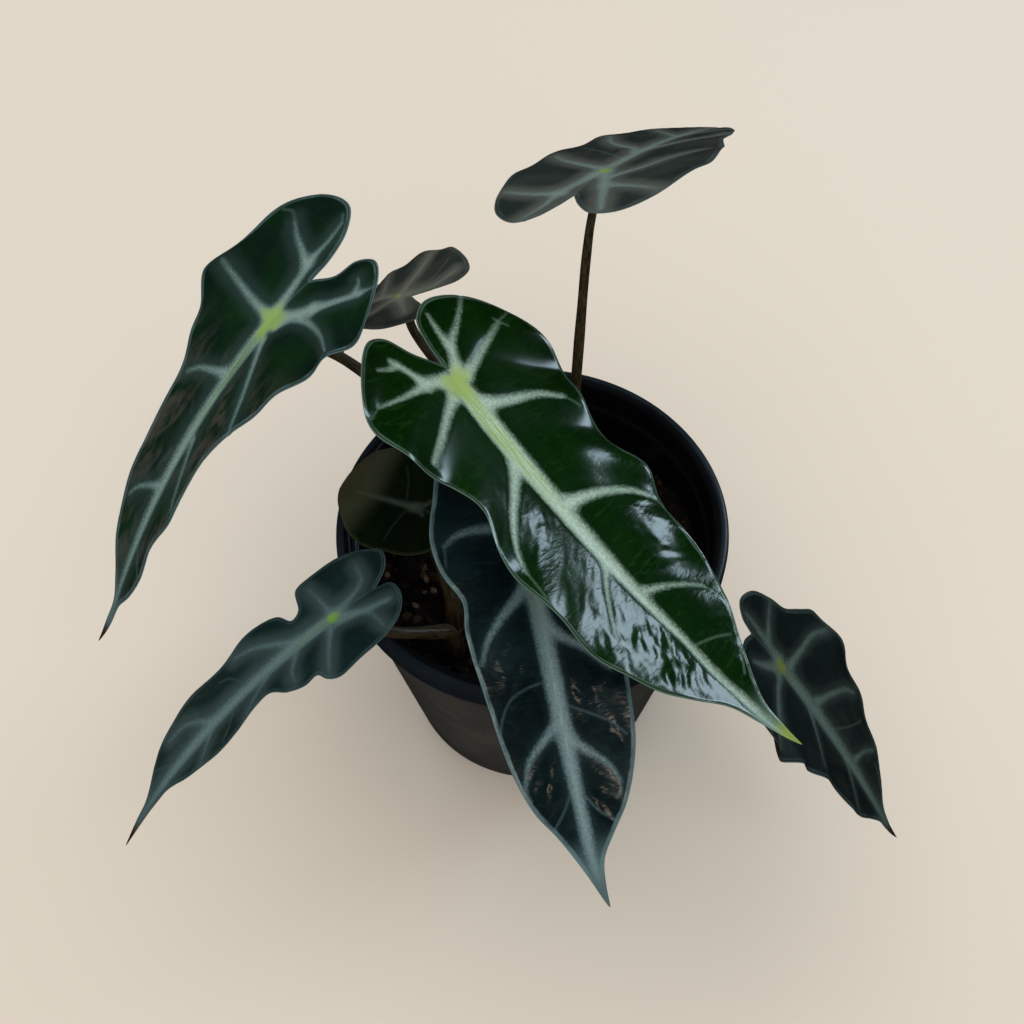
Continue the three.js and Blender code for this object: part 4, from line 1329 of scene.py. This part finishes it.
class Finish:
    """Builds one material's nodes. Values are numbers or node sockets."""

    def __init__(self, name, **settings):
        self.material = bpy.data.materials.new(name)
        self.material.use_nodes = True
        self.tree = self.material.node_tree
        self.shader = self.tree.nodes["Principled BSDF"]
        for key, value in settings.items():
            self.shader.inputs[key.replace("_", " ")].default_value = value

    def node(self, kind, **settings):
        made = self.tree.nodes.new(kind)
        for key, value in settings.items():
            setattr(made, key, value)
        return made

    def plug(self, socket, value):
        if isinstance(value, bpy.types.NodeSocket):
            self.tree.links.new(value, socket)
        else:
            socket.default_value = value

    def attribute(self, name, vector=False):
        made = self.node("ShaderNodeAttribute", attribute_name=name)
        return made.outputs["Vector" if vector else "Fac"]

    def math(self, operation, first, second=0.0, clamp=False):
        made = self.node("ShaderNodeMath", operation=operation, use_clamp=clamp)
        self.plug(made.inputs[0], first)
        self.plug(made.inputs[1], second)
        return made.outputs[0]

    def add(self, first, second):
        return self.math("ADD", first, second)

    def times(self, first, second):
        return self.math("MULTIPLY", first, second)

    def most(self, first, second):
        return self.math("MAXIMUM", first, second)

    def inverse(self, value):
        return self.math("SUBTRACT", 1.0, value)

    def step(self, value, low, high):
        """Smooth step from 0 at low to 1 at high."""
        made = self.node("ShaderNodeMapRange", interpolation_type="SMOOTHSTEP")
        if low > high:
            low, high = high, low
            self.plug(made.inputs["To Min"], 1.0)
            self.plug(made.inputs["To Max"], 0.0)
        self.plug(made.inputs["Value"], value)
        self.plug(made.inputs["From Min"], low)
        self.plug(made.inputs["From Max"], high)
        return made.outputs[0]

    def scaled(self, vector, factors):
        made = self.node("ShaderNodeVectorMath", operation="MULTIPLY")
        self.plug(made.inputs[0], vector)
        self.plug(made.inputs[1], factors)
        return made.outputs[0]

    def shifted(self, vector, other):
        made = self.node("ShaderNodeVectorMath", operation="ADD")
        self.plug(made.inputs[0], vector)
        self.plug(made.inputs[1], other)
        return made.outputs[0]

    def noise(self, vector, scale=1.0, detail=2.0, roughness=0.5, distortion=0.0):
        """Noise from 0 to 1 about 0.5."""
        made = self.node("ShaderNodeTexNoise")
        self.plug(made.inputs["Vector"], vector)
        made.inputs["Scale"].default_value = scale
        made.inputs["Detail"].default_value = detail
        made.inputs["Roughness"].default_value = roughness
        made.inputs["Distortion"].default_value = distortion
        return made.outputs["Fac"]

    def centred(self, value, width=1.0):
        """Noise about 0.5 as a value about 0, scaled."""
        return self.times(self.add(value, -0.5), 2.0 * width)

    def noise_vector(self, vector, scale):
        """Noise colour as a vector about 0."""
        made = self.node("ShaderNodeTexNoise")
        self.plug(made.inputs["Vector"], vector)
        made.inputs["Scale"].default_value = scale
        made.inputs["Detail"].default_value = 1.0
        return self.shifted(made.outputs["Color"], (-0.5, -0.5, -0.5))

    def flat_length(self, vector):
        """Length of a vector's first two parts."""
        made = self.node("ShaderNodeVectorMath", operation="LENGTH")
        self.plug(made.inputs[0], self.scaled(vector, (1.0, 1.0, 0.0)))
        return made.outputs["Value"]

    def mix(self, share, first, second):
        made = self.node("ShaderNodeMix", data_type="RGBA")
        self.plug(made.inputs[0], share)
        self.plug(made.inputs[6], first)
        self.plug(made.inputs[7], second)
        return made.outputs[2]

    def blend(self, share, first, second):
        """Number between two numbers."""
        made = self.node("ShaderNodeMix", data_type="FLOAT")
        self.plug(made.inputs[0], share)
        self.plug(made.inputs[2], first)
        self.plug(made.inputs[3], second)
        return made.outputs[0]

    def bump(self, height, distance, strength=1.0, before=None):
        made = self.node("ShaderNodeBump")
        made.inputs["Strength"].default_value = strength
        made.inputs["Distance"].default_value = distance
        self.plug(made.inputs["Height"], height)
        if before is not None:
            self.plug(made.inputs["Normal"], before)
        return made.outputs[0]

    def done(self, **links):
        for key, value in links.items():
            self.plug(self.shader.inputs[key.replace("_", " ")], value)
        return self.material


# How each leaf looks, in display colours. dark and patch: the fields between the veins.
# bloom_and_sheen: a dull bloom beside the veins, as far as bloom_and_sheen_reach mm: partly a
# real bloom and partly a painted sheen. reflection_streak: a painted reflection of the
# surroundings, brown along the folds, from the first to the second place along the midrib. vein
# and core: edge and middle of a vein.
# centre: the midrib's green middle up to centre_end. net: fine lines between the veins.
# margin_wide: the pale margin's width in mm; plain_margin: with no dark line in it. specular:
# strength of the mirror-like share. wrinkle: height of the modelled wrinkles in mm, which set in
# between the two places of wrinkled_from. crinkle: depth in mm of the finest ones, in the shading.
PLAIN_LOOK = {"coat": 0.0, "wrinkled_from": (-40, 20), "plain_margin": False}
LOOKS = {
    "front_large": PLAIN_LOOK | {
        "dark": (2, 27, 1), "patch": (5, 35, 4), "bloom_and_sheen": (9, 34, 12), "bloom_and_sheen_share": 0.3,
        "bloom_and_sheen_reach": 1.5, "reflection_streak": (16, 42, 15), "reflection_streak_share": 0.2, "reflection_streak_along": (-30, 0),
        "vein": (84, 110, 94), "core": (170, 194, 182), "centre": (130, 160, 92),
        "centre_end": 52, "hub": (140, 166, 84), "hub_reach": 8, "net": (30, 72, 22),
        "net_share": 0.26, "margin": (88, 112, 102), "margin_share": 0.7, "margin_wide": 1.2,
        "tip": (118, 140, 60), "rough": 0.19, "coat": 0.15, "specular": 0.5, "wrinkle": 0.12,
        "wrinkled_from": (18, 50), "crinkle": 0.08,
    },
    "upper_left": PLAIN_LOOK | {
        "dark": (8, 27, 20), "patch": (12, 40, 15), "bloom_and_sheen": (42, 60, 58), "bloom_and_sheen_share": 0.6,
        "bloom_and_sheen_reach": 3.2, "reflection_streak": (70, 68, 62), "reflection_streak_share": 0.6, "reflection_streak_along": (2, 26),
        "vein": (66, 92, 90), "core": (132, 156, 150), "centre": (84, 114, 76),
        "centre_end": 46, "hub": (128, 160, 82), "hub_reach": 8, "net": (26, 54, 32),
        "net_share": 0.22, "margin": (80, 104, 108), "margin_share": 0.9, "margin_wide": 1.4,
        "tip": (48, 36, 26), "rough": 0.3, "coat": 0.1, "specular": 0.3, "wrinkle": 0.05,
        "crinkle": 0.06,
    },
    "small_back": PLAIN_LOOK | {
        "dark": (38, 46, 43), "patch": (50, 57, 53), "bloom_and_sheen": (94, 96, 90), "bloom_and_sheen_share": 0.6,
        "bloom_and_sheen_reach": 2.6, "reflection_streak": (80, 74, 66), "reflection_streak_share": 0.4, "reflection_streak_along": (-20, 10),
        "vein": (88, 96, 88), "core": (112, 118, 106), "centre": (94, 106, 78),
        "centre_end": 10, "hub": (120, 146, 74), "hub_reach": 1.6, "net": (60, 64, 56),
        "net_share": 0.1, "margin": (84, 92, 86), "margin_share": 0.6, "margin_wide": 1.2,
        "tip": (60, 52, 40), "rough": 0.42, "specular": 0.15, "wrinkle": 0.05,
        "crinkle": 0.04,
    },
    "tall": PLAIN_LOOK | {
        "dark": (33, 42, 41), "patch": (46, 53, 50), "bloom_and_sheen": (86, 90, 85), "bloom_and_sheen_share": 0.6,
        "bloom_and_sheen_reach": 2.8, "reflection_streak": (68, 66, 60), "reflection_streak_share": 0.4, "reflection_streak_along": (-10, 30),
        "vein": (82, 98, 96), "core": (112, 128, 124), "centre": (88, 102, 82),
        "centre_end": 12, "hub": (112, 146, 60), "hub_reach": 2.6, "net": (52, 60, 56),
        "net_share": 0.1, "margin": (74, 90, 90), "margin_share": 0.6, "margin_wide": 1.3,
        "tip": (38, 28, 24), "rough": 0.42, "specular": 0.15, "wrinkle": 0.05,
        "crinkle": 0.04,
    },
    "lower_left": PLAIN_LOOK | {
        "dark": (12, 31, 30), "patch": (20, 41, 39), "bloom_and_sheen": (58, 76, 77), "bloom_and_sheen_share": 0.6,
        "bloom_and_sheen_reach": 2.8, "reflection_streak": (56, 58, 50), "reflection_streak_share": 0.35, "reflection_streak_along": (20, 60),
        "vein": (54, 76, 77), "core": (94, 118, 120), "centre": (84, 108, 96),
        "centre_end": 22, "hub": (104, 146, 56), "hub_reach": 2.6, "net": (44, 66, 66),
        "net_share": 0.14, "margin": (66, 88, 92), "margin_share": 0.6, "margin_wide": 1.2,
        "tip": (42, 32, 24), "rough": 0.34, "coat": 0.05, "specular": 0.25, "wrinkle": 0.06,
        "crinkle": 0.05,
    },
    "front_low": PLAIN_LOOK | {
        "dark": (6, 19, 21), "patch": (20, 37, 41), "bloom_and_sheen": (26, 44, 48), "bloom_and_sheen_share": 0.5,
        "bloom_and_sheen_reach": 1.6, "reflection_streak": (16, 32, 32), "reflection_streak_share": 0.3, "reflection_streak_along": (-30, 0),
        "vein": (66, 90, 96), "core": (120, 145, 149), "centre": (100, 124, 104),
        "centre_end": 34, "hub": (112, 142, 96), "hub_reach": 8, "net": (50, 74, 76),
        "net_share": 0.12, "margin": (88, 114, 119), "margin_share": 0.95, "margin_wide": 1.2,
        "plain_margin": True, "tip": (70, 92, 96), "rough": 0.22, "coat": 0.1, "specular": 0.5,
        "wrinkle": 0.12, "crinkle": 0.16,
    },
    "lower_right": PLAIN_LOOK | {
        "dark": (11, 20, 20), "patch": (18, 28, 29), "bloom_and_sheen": (38, 48, 46), "bloom_and_sheen_share": 0.6,
        "bloom_and_sheen_reach": 2.0, "reflection_streak": (38, 38, 34), "reflection_streak_share": 0.4, "reflection_streak_along": (10, 40),
        "vein": (50, 66, 62), "core": (78, 96, 92), "centre": (68, 84, 68),
        "centre_end": 10, "hub": (90, 102, 42), "hub_reach": 3.4, "net": (34, 46, 44),
        "net_share": 0.14, "margin": (58, 76, 76), "margin_share": 0.65, "margin_wide": 1.2,
        "tip": (40, 32, 26), "rough": 0.4, "specular": 0.15, "wrinkle": 0.05,
        "crinkle": 0.04,
    },
    "inside_rim": PLAIN_LOOK | {
        "dark": (4, 15, 3), "patch": (8, 21, 5), "bloom_and_sheen": (14, 23, 11), "bloom_and_sheen_share": 0.4,
        "bloom_and_sheen_reach": 1.5, "reflection_streak": (40, 34, 24), "reflection_streak_share": 0.9, "reflection_streak_along": (8, 24),
        "vein": (40, 50, 42), "core": (58, 68, 58), "centre": (56, 68, 52),
        "centre_end": 4, "hub": (56, 68, 48), "hub_reach": 2, "net": (22, 36, 13),
        "net_share": 0.3, "margin": (62, 68, 48), "margin_share": 0.5, "margin_wide": 0.9,
        "tip": (50, 50, 34), "rough": 0.34, "specular": 0.2, "wrinkle": 0.03,
        "wrinkled_from": (-20, 10), "crinkle": 0.03,
    },
}


def leaf_fields(finish, look, place, parts):
    """Colour of the upper face between the veins, with a painted sheen and painted reflections in
    it.
    """
    patches = finish.noise(place, scale=0.07, detail=2)
    body = finish.mix(
        finish.step(patches, 0.35, 0.75), colour(*look["dark"]), colour(*look["patch"])
    )
    lines = finish.noise(finish.scaled(place, (0.4, 0.08, 1.0)), detail=1, distortion=0.4)
    line = finish.step(finish.math("ABSOLUTE", finish.add(lines, -0.5)), 0.022, 0.0)
    cross = finish.noise(finish.scaled(place, (0.3, 0.42, 1.0)), detail=1, distortion=0.8)
    cross_line = finish.step(finish.math("ABSOLUTE", finish.add(cross, -0.5)), 0.012, 0.0)
    net = finish.most(line, finish.times(cross_line, 0.6))
    body = finish.mix(finish.times(net, look["net_share"]), body, colour(*look["net"]))

    # Painted reflection of the surroundings: brown streaks along the folds of the blade.
    folds = finish.noise(finish.scaled(place, (0.05, 0.11, 1.0)), detail=3, distortion=1.2)
    fine_folds = finish.noise(finish.scaled(place, (0.12, 0.5, 1.0)), detail=3, distortion=1.5)
    reflection_streaks = finish.add(finish.times(folds, 0.65), finish.times(fine_folds, 0.35))
    reached = finish.step(parts["along"], *look["reflection_streak_along"])
    reflection_streaked = finish.times(finish.step(reflection_streaks, 0.44, 0.62), reached)
    share = finish.times(reflection_streaked, look["reflection_streak_share"])
    body = finish.mix(share, body, colour(*look["reflection_streak"]))

    # Beside the veins: partly a real bloom on the leaf and partly a painted sheen.
    soft = finish.centred(finish.noise(place, scale=0.35, detail=2), 0.8)
    bloom_and_sheen_mask = finish.step(finish.add(parts["wide"], soft), -look["bloom_and_sheen_reach"] * 1.6, -0.1)
    return finish.mix(finish.times(bloom_and_sheen_mask, look["bloom_and_sheen_share"]), body, colour(*look["bloom_and_sheen"]))


def leaf_veins(finish, look, parts):
    """Colour of the veins: granular silver, greener along the midrib and at the hub."""
    grain = finish.add(finish.times(parts["grain"], 0.5), finish.times(parts["fine_grain"], 0.5))
    bright = finish.add(finish.times(finish.step(parts["wide"], -0.3, 2.4), 0.7), 0.05)
    bright = finish.add(bright, finish.centred(grain, 1.25))
    silver = finish.mix(
        finish.math("ADD", bright, 0.0, clamp=True), colour(*look["vein"]), colour(*look["core"])
    )
    fibres = parts["fibres"]
    speckled = finish.add(fibres, finish.centred(parts["fine_grain"], 0.35))
    green = finish.mix(
        finish.step(speckled, 0.4, 0.72), colour(*look["centre"]), colour(*look["core"])
    )
    middle = finish.times(
        finish.step(parts["midrib"], 0.3, 1.8),
        finish.step(parts["along"], look["centre_end"], look["centre_end"] * 0.35),
    )
    silver = finish.mix(middle, silver, green)
    hub_edge = finish.add(parts["from_hub"], finish.centred(parts["grain"], 1.6))
    at_hub = finish.step(hub_edge, look["hub_reach"], look["hub_reach"] * 0.3)
    at_hub = finish.times(at_hub, finish.step(parts["wide"], 0.2, 1.5))
    return finish.mix(finish.times(at_hub, 0.9), silver, colour(*look["hub"]))


def leaf_margin(finish, look, edge, place):
    """Share of the pale margin: a thin rim and an uneven band, mostly with a dark line between."""
    wavy = finish.add(edge, finish.centred(finish.noise(place, scale=0.3), 0.3))
    rim = finish.step(edge, 0.36, 0.16)
    wide = look["margin_wide"]
    band = finish.step(wavy, wide, wide * 0.55)
    if not look["plain_margin"]:
        band = finish.times(finish.step(edge, 0.4, 0.62), band)
    uneven = finish.step(finish.noise(place, scale=0.16, detail=3), 0.3, 0.62)
    band = finish.times(band, finish.add(0.3, finish.times(uneven, 0.5)))
    return finish.most(finish.times(rim, 0.9), band)


def leaf_underside(finish, parts):
    """Colour of the lower face: maroon, with raised green nerves."""
    blotched = finish.step(parts["grain"], 0.3, 0.7)
    maroon = finish.mix(blotched, colour(44, 20, 26), colour(60, 34, 36))
    fibrous = finish.step(parts["fibres"], 0.35, 0.7)
    nerve = finish.mix(fibrous, colour(76, 84, 58), colour(104, 112, 82))
    return finish.mix(finish.times(finish.step(parts["wide"], -0.9, 0.4), 0.8), maroon, nerve)


def leaf_material(name):
    look = LOOKS[name]
    length = LEAVES[name]["left"][-1][0]
    finish = Finish(
        f"leaf_{name}",
        Coat_Weight=look["coat"],
        Coat_Roughness=0.16,
        Specular_IOR_Level=look["specular"],
    )
    place = finish.attribute("leafplace", vector=True)
    split = finish.node("ShaderNodeSeparateXYZ")
    finish.plug(split.inputs[0], place)
    parts = {
        "along": split.outputs[0],
        "from_hub": finish.flat_length(place),
        "wide": finish.attribute("wide"),
        "midrib": finish.attribute("midrib"),
        "grain": finish.noise(place, scale=1.5, detail=3, roughness=0.7),
        "fine_grain": finish.noise(place, scale=2.4, detail=2, roughness=0.7),
        "fibres": finish.noise(finish.scaled(place, (0.1, 2.4, 1.0)), detail=3),
    }
    thin = finish.attribute("thin")
    edge = finish.attribute("edge")
    under = finish.step(finish.attribute("under"), 0.3, 0.7)

    ragged = finish.add(
        finish.centred(parts["grain"], 0.5), finish.centred(parts["fine_grain"], 0.35)
    )
    vein_mask = finish.step(finish.add(parts["wide"], ragged), -0.7, 0.8)
    thin_mask = finish.step(
        finish.add(thin, finish.centred(parts["fine_grain"], 0.2)), -0.35, 0.3
    )
    fields = leaf_fields(finish, look, place, parts)
    silver = leaf_veins(finish, look, parts)
    upper = finish.mix(finish.times(thin_mask, 0.5), fields, colour(*look["vein"]))
    upper = finish.mix(vein_mask, upper, silver)
    margin = finish.times(leaf_margin(finish, look, edge, place), look["margin_share"])
    upper = finish.mix(margin, upper, colour(*look["margin"]))
    near_tip = finish.step(parts["along"], length - 20, length - 9)
    upper = finish.mix(finish.times(near_tip, 0.6), upper, colour(*look["margin"]))
    at_tip = finish.step(parts["along"], length - 10, length - 4)
    upper = finish.mix(at_tip, upper, colour(*look["tip"]))
    lower = leaf_underside(finish, parts)

    warped = finish.shifted(
        finish.scaled(place, (0.9, 0.28, 1.0)),
        finish.scaled(finish.noise_vector(place, 0.3), (1.2, 0.8, 0.0)),
    )
    crinkle = finish.noise(warped, detail=2.0, roughness=0.5)
    wrinkled = finish.step(parts["along"], *look["wrinkled_from"])
    depth = finish.add(finish.times(wrinkled, 0.9), 0.1)
    on_fields = finish.times(finish.inverse(vein_mask), depth)
    normal = finish.bump(finish.times(crinkle, on_fields), look["crinkle"] * MM)
    pebbles = finish.times(parts["fine_grain"], finish.add(finish.times(vein_mask, 0.85), 0.05))
    normal = finish.bump(pebbles, 0.00008, before=normal)

    roughness = finish.blend(vein_mask, look["rough"], 0.45)
    roughness = finish.blend(under, roughness, 0.55)
    return finish.done(
        Base_Color=finish.mix(under, upper, lower), Roughness=roughness, Normal=normal
    )


@functools.cache
def petiole_material():
    finish = Finish("petiole", Coat_Weight=0.1, Coat_Roughness=0.3)
    place = finish.attribute("stemplace", vector=True)
    to_end = finish.attribute("to_end")
    height = finish.attribute("height")
    stretched = finish.scaled(place, (0.35, 1.3, 1.3))
    blotch = finish.noise(stretched, detail=3, roughness=0.65)
    flecks = finish.noise(finish.scaled(place, (0.8, 2.6, 2.6)), detail=2)
    skin = finish.mix(finish.step(blotch, 0.35, 0.65), colour(38, 32, 19), colour(68, 60, 37))
    skin = finish.mix(finish.step(flecks, 0.58, 0.68), skin, colour(24, 18, 14))
    skin = finish.mix(finish.times(finish.step(flecks, 0.38, 0.3), 0.5), skin, colour(88, 80, 48))
    joint = finish.times(finish.step(to_end, 11.0, 4.0), 0.6)
    skin = finish.mix(joint, skin, colour(46, 34, 24))
    base = finish.step(height, SOIL_TOP + 20, SOIL_TOP + 1)
    papery = finish.noise(finish.scaled(place, (0.25, 1.8, 1.8)), detail=3)
    skin = finish.mix(
        finish.times(base, finish.step(papery, 0.4, 0.62)), skin, colour(104, 76, 50)
    )
    skin = finish.mix(finish.times(base, 0.25), skin, colour(38, 24, 20))
    normal = finish.bump(finish.noise(finish.scaled(place, (0.3, 3, 3)), detail=3), 0.00018)
    return finish.done(
        Base_Color=skin, Roughness=finish.blend(base, 0.42, 0.7), Normal=normal
    )


def object_place(finish):
    return finish.node("ShaderNodeTexCoord").outputs["Object"]


def pot_material():
    finish = Finish("pot", Specular_IOR_Level=0.5)
    place = object_place(finish)
    wear = finish.noise(place, scale=35, detail=4, roughness=0.6)
    grain = finish.noise(place, scale=2600, detail=2)
    rings = finish.noise(finish.scaled(place, (3.0, 3.0, 420.0)), detail=2)
    dust = finish.noise(place, scale=420, detail=3, roughness=0.7)
    split = finish.node("ShaderNodeSeparateXYZ")
    finish.plug(split.inputs[0], place)
    height = split.outputs[2]
    slope = (RIM_RADIUS - LIP_OVERHANG - BASE_RADIUS) / (POT_HEIGHT - LIP_HEIGHT)
    wall = finish.add(finish.times(height, slope), BASE_RADIUS * MM)
    beyond = finish.math("SUBTRACT", finish.flat_length(place), wall)
    outside = finish.step(beyond, -1.4 * MM, -0.8 * MM)
    lip_bottom = (POT_HEIGHT - LIP_HEIGHT) * MM
    lip = finish.step(height, lip_bottom - 0.6 * MM, lip_bottom)
    worn = finish.step(wear, 0.35, 0.7)
    inner = finish.mix(worn, colour(5, 7, 11), colour(11, 14, 18))
    # Outer wall: the black plastic painted pale grey as a reflection of the floor, uneven with
    # wear.
    wall_painted_reflection = finish.mix(worn, colour(66, 64, 61), colour(80, 77, 73))
    # Lip: a painted bluish highlight over the pot's dark navy plastic, uneven with wear.
    lip_painted_highlight = finish.mix(worn, colour(16, 24, 33), colour(26, 37, 47))
    skin = finish.mix(outside, inner, finish.mix(lip, wall_painted_reflection, lip_painted_highlight))
    skin = finish.mix(finish.times(finish.step(dust, 0.66, 0.76), 0.15), skin, colour(92, 84, 72))
    normal = finish.bump(grain, 0.00006)
    normal = finish.bump(rings, 0.00008, before=normal)
    roughness = finish.add(0.36, finish.centred(wear, 0.07))
    return finish.done(Base_Color=skin, Roughness=roughness, Normal=normal)


def soil_material():
    finish = Finish("soil", Specular_IOR_Level=0.25)
    place = object_place(finish)
    lumps = finish.noise(place, scale=160, detail=4, roughness=0.7)
    crumbs = finish.noise(place, scale=900, detail=3, roughness=0.7)
    earth = finish.mix(finish.step(lumps, 0.35, 0.7), colour(9, 7, 7), colour(24, 18, 15))
    earth = finish.mix(finish.times(finish.step(crumbs, 0.6, 0.7), 0.45), earth, colour(46, 33, 25))
    normal = finish.bump(finish.add(lumps, finish.times(crumbs, 0.5)), 0.0009)
    return finish.done(Base_Color=earth, Roughness=0.95, Normal=normal)


@functools.cache
def bits_material():
    finish = Finish("soil_bits", Specular_IOR_Level=0.3)
    place = object_place(finish)
    tone = finish.attribute("tone")
    grain = finish.noise(finish.scaled(place, (900, 300, 900)), detail=3)
    brown = finish.mix(finish.step(tone, 0.1, 0.6), colour(13, 10, 9), colour(50, 34, 24))
    brown = finish.mix(finish.step(tone, 0.6, 1.0), brown, colour(116, 98, 78))
    brown = finish.mix(finish.times(finish.step(grain, 0.4, 0.7), 0.4), brown, colour(20, 14, 12))
    return finish.done(Base_Color=brown, Roughness=0.9, Normal=finish.bump(grain, 0.0004))


@functools.cache
def rhizome_material():
    finish = Finish("rhizome", Specular_IOR_Level=0.3)
    place = object_place(finish)
    bark = finish.noise(finish.scaled(place, (400, 400, 1500)), detail=4)
    skin = finish.mix(finish.step(bark, 0.35, 0.7), colour(40, 28, 20), colour(92, 70, 46))
    return finish.done(Base_Color=skin, Roughness=0.85, Normal=finish.bump(bark, 0.0006))


# Stage, light and camera

BACKDROP = (221, 213, 201)
FLOOR_TINT = (214, 206, 194)
FLOOR_PATCH = (222, 215, 204)
FLOOR_SIZE = 6
WORLD_FILL = 0.5
WORLD_GLOSS = 0.014
LIGHTS_AIM = (0, 0, 140)
NEUTRAL = (1.0, 0.98, 0.95)

# Each light: azimuth, elevation, distance in m, size in m, watts, tint, seen in reflections.
# Azimuth 0 is behind the plant and 90 to its right.
LIGHTS = {
    "window_right": (60, 20, 1.2, (0.42, 0.3), 3.1, (0.66, 0.86, 1.0), True),
    "warm_lamp": (138, 58, 1.4, (0.3, 0.3), 1.3, (1.0, 0.84, 0.66), True),
    "overhead": (0, 85, 1.4, (1.6, 1.6), 9, NEUTRAL, False),
    "back_fill": (-40, 35, 1.4, (1.0, 0.8), 3.4, NEUTRAL, False),
    "front_fill": (185, 48, 1.4, (1.2, 1.2), 6, (1.0, 0.97, 0.93), False),
}

# The photograph's camera: it looks at TARGET from this elevation and distance
TARGET = (0, 0, 100)
ELEVATION = 57.3
DISTANCE = 408
FOCAL_PIXELS = 1338
IMAGE = 1024
CENTRE = (532.5, 520.3)
SENSOR = 36


def make_floor():
    bpy.ops.mesh.primitive_plane_add(size=FLOOR_SIZE, location=(0, 0, 0))
    floor = bpy.context.object
    floor.name = "floor"
    finish = Finish("floor", Specular_IOR_Level=0.0)
    shade = finish.noise(object_place(finish), scale=1.4, detail=2)
    tint = finish.mix(finish.times(shade, 0.2), colour(*FLOOR_TINT), colour(*FLOOR_PATCH))
    floor.data.materials.append(finish.done(Base_Color=tint, Roughness=0.9))
    floor.visible_glossy = False


def soft_light(name, azimuth, elevation, distance, size, watts, tint, glossy):
    """A soft rectangular light that looks at the plant."""
    data = bpy.data.lights.new(name, "AREA")
    data.shape = "RECTANGLE"
    data.size, data.size_y = size
    data.energy = watts
    data.color = tint
    lamp = bpy.data.objects.new(name, data)
    bpy.context.scene.collection.objects.link(lamp)
    turn, rise = math.radians(azimuth), math.radians(elevation)
    direction = Vector(
        (math.sin(turn) * math.cos(rise), math.cos(turn) * math.cos(rise), math.sin(rise))
    )
    lamp.location = Vector(LIGHTS_AIM) * MM + direction * distance
    lamp.rotation_mode = "QUATERNION"
    lamp.rotation_quaternion = (-direction).to_track_quat("-Z", "Y")
    lamp.visible_glossy = glossy


def make_world():
    """Backdrop as the camera sees it, a soft fill for the object and a dim one for its gloss."""
    world = bpy.data.worlds.new("world")
    bpy.context.scene.world = world
    world.use_nodes = True
    tree = world.node_tree
    tree.nodes.clear()
    light_path = tree.nodes.new("ShaderNodeLightPath")
    output = tree.nodes.new("ShaderNodeOutputWorld")
    backgrounds = []
    for tint, strength in (
        (colour(*BACKDROP), 1.0),
        ((1.0, 0.98, 0.95, 1.0), WORLD_FILL),
        ((0.8, 0.9, 1.0, 1.0), WORLD_GLOSS),
    ):
        background = tree.nodes.new("ShaderNodeBackground")
        background.inputs["Color"].default_value = tint
        background.inputs["Strength"].default_value = strength
        backgrounds.append(background)
    seen, fill, mirrored = backgrounds
    first = tree.nodes.new("ShaderNodeMixShader")
    second = tree.nodes.new("ShaderNodeMixShader")
    tree.links.new(light_path.outputs["Is Glossy Ray"], first.inputs[0])
    tree.links.new(fill.outputs[0], first.inputs[1])
    tree.links.new(mirrored.outputs[0], first.inputs[2])
    tree.links.new(light_path.outputs["Is Camera Ray"], second.inputs[0])
    tree.links.new(first.outputs[0], second.inputs[1])
    tree.links.new(seen.outputs[0], second.inputs[2])
    tree.links.new(second.outputs[0], output.inputs[0])


def make_camera():
    data = bpy.data.cameras.new("camera")
    data.sensor_width = SENSOR
    data.lens = FOCAL_PIXELS * SENSOR / IMAGE
    data.shift_x = (IMAGE / 2 - CENTRE[0]) / IMAGE
    data.shift_y = (CENTRE[1] - IMAGE / 2) / IMAGE
    data.clip_start = 0.01
    camera = bpy.data.objects.new("camera", data)
    bpy.context.scene.collection.objects.link(camera)
    rise = math.radians(ELEVATION)
    camera.location = (
        TARGET[0] * MM,
        (TARGET[1] - DISTANCE * math.cos(rise)) * MM,
        (TARGET[2] + DISTANCE * math.sin(rise)) * MM,
    )
    camera.rotation_euler = (math.pi / 2 - rise, 0, 0)
    bpy.context.scene.camera = camera


make_camera()
make_world()
make_floor()
for light_name, light in LIGHTS.items():
    soft_light(light_name, *light)
bpy.context.scene.view_settings.view_transform = "Standard"

make_pot()
make_soil()
for bits_name, bits in BITS.items():
    dress(make_bits(bits_name, **bits), "soil")
make_rhizome("crown_main", "rhizome_main", MAIN_CROWN)
make_rhizome("crown_front", "rhizome_front", FRONT_CROWN)
for leaf_name in LEAVES:
    make_petiole(leaf_name)
    make_blade(leaf_name)
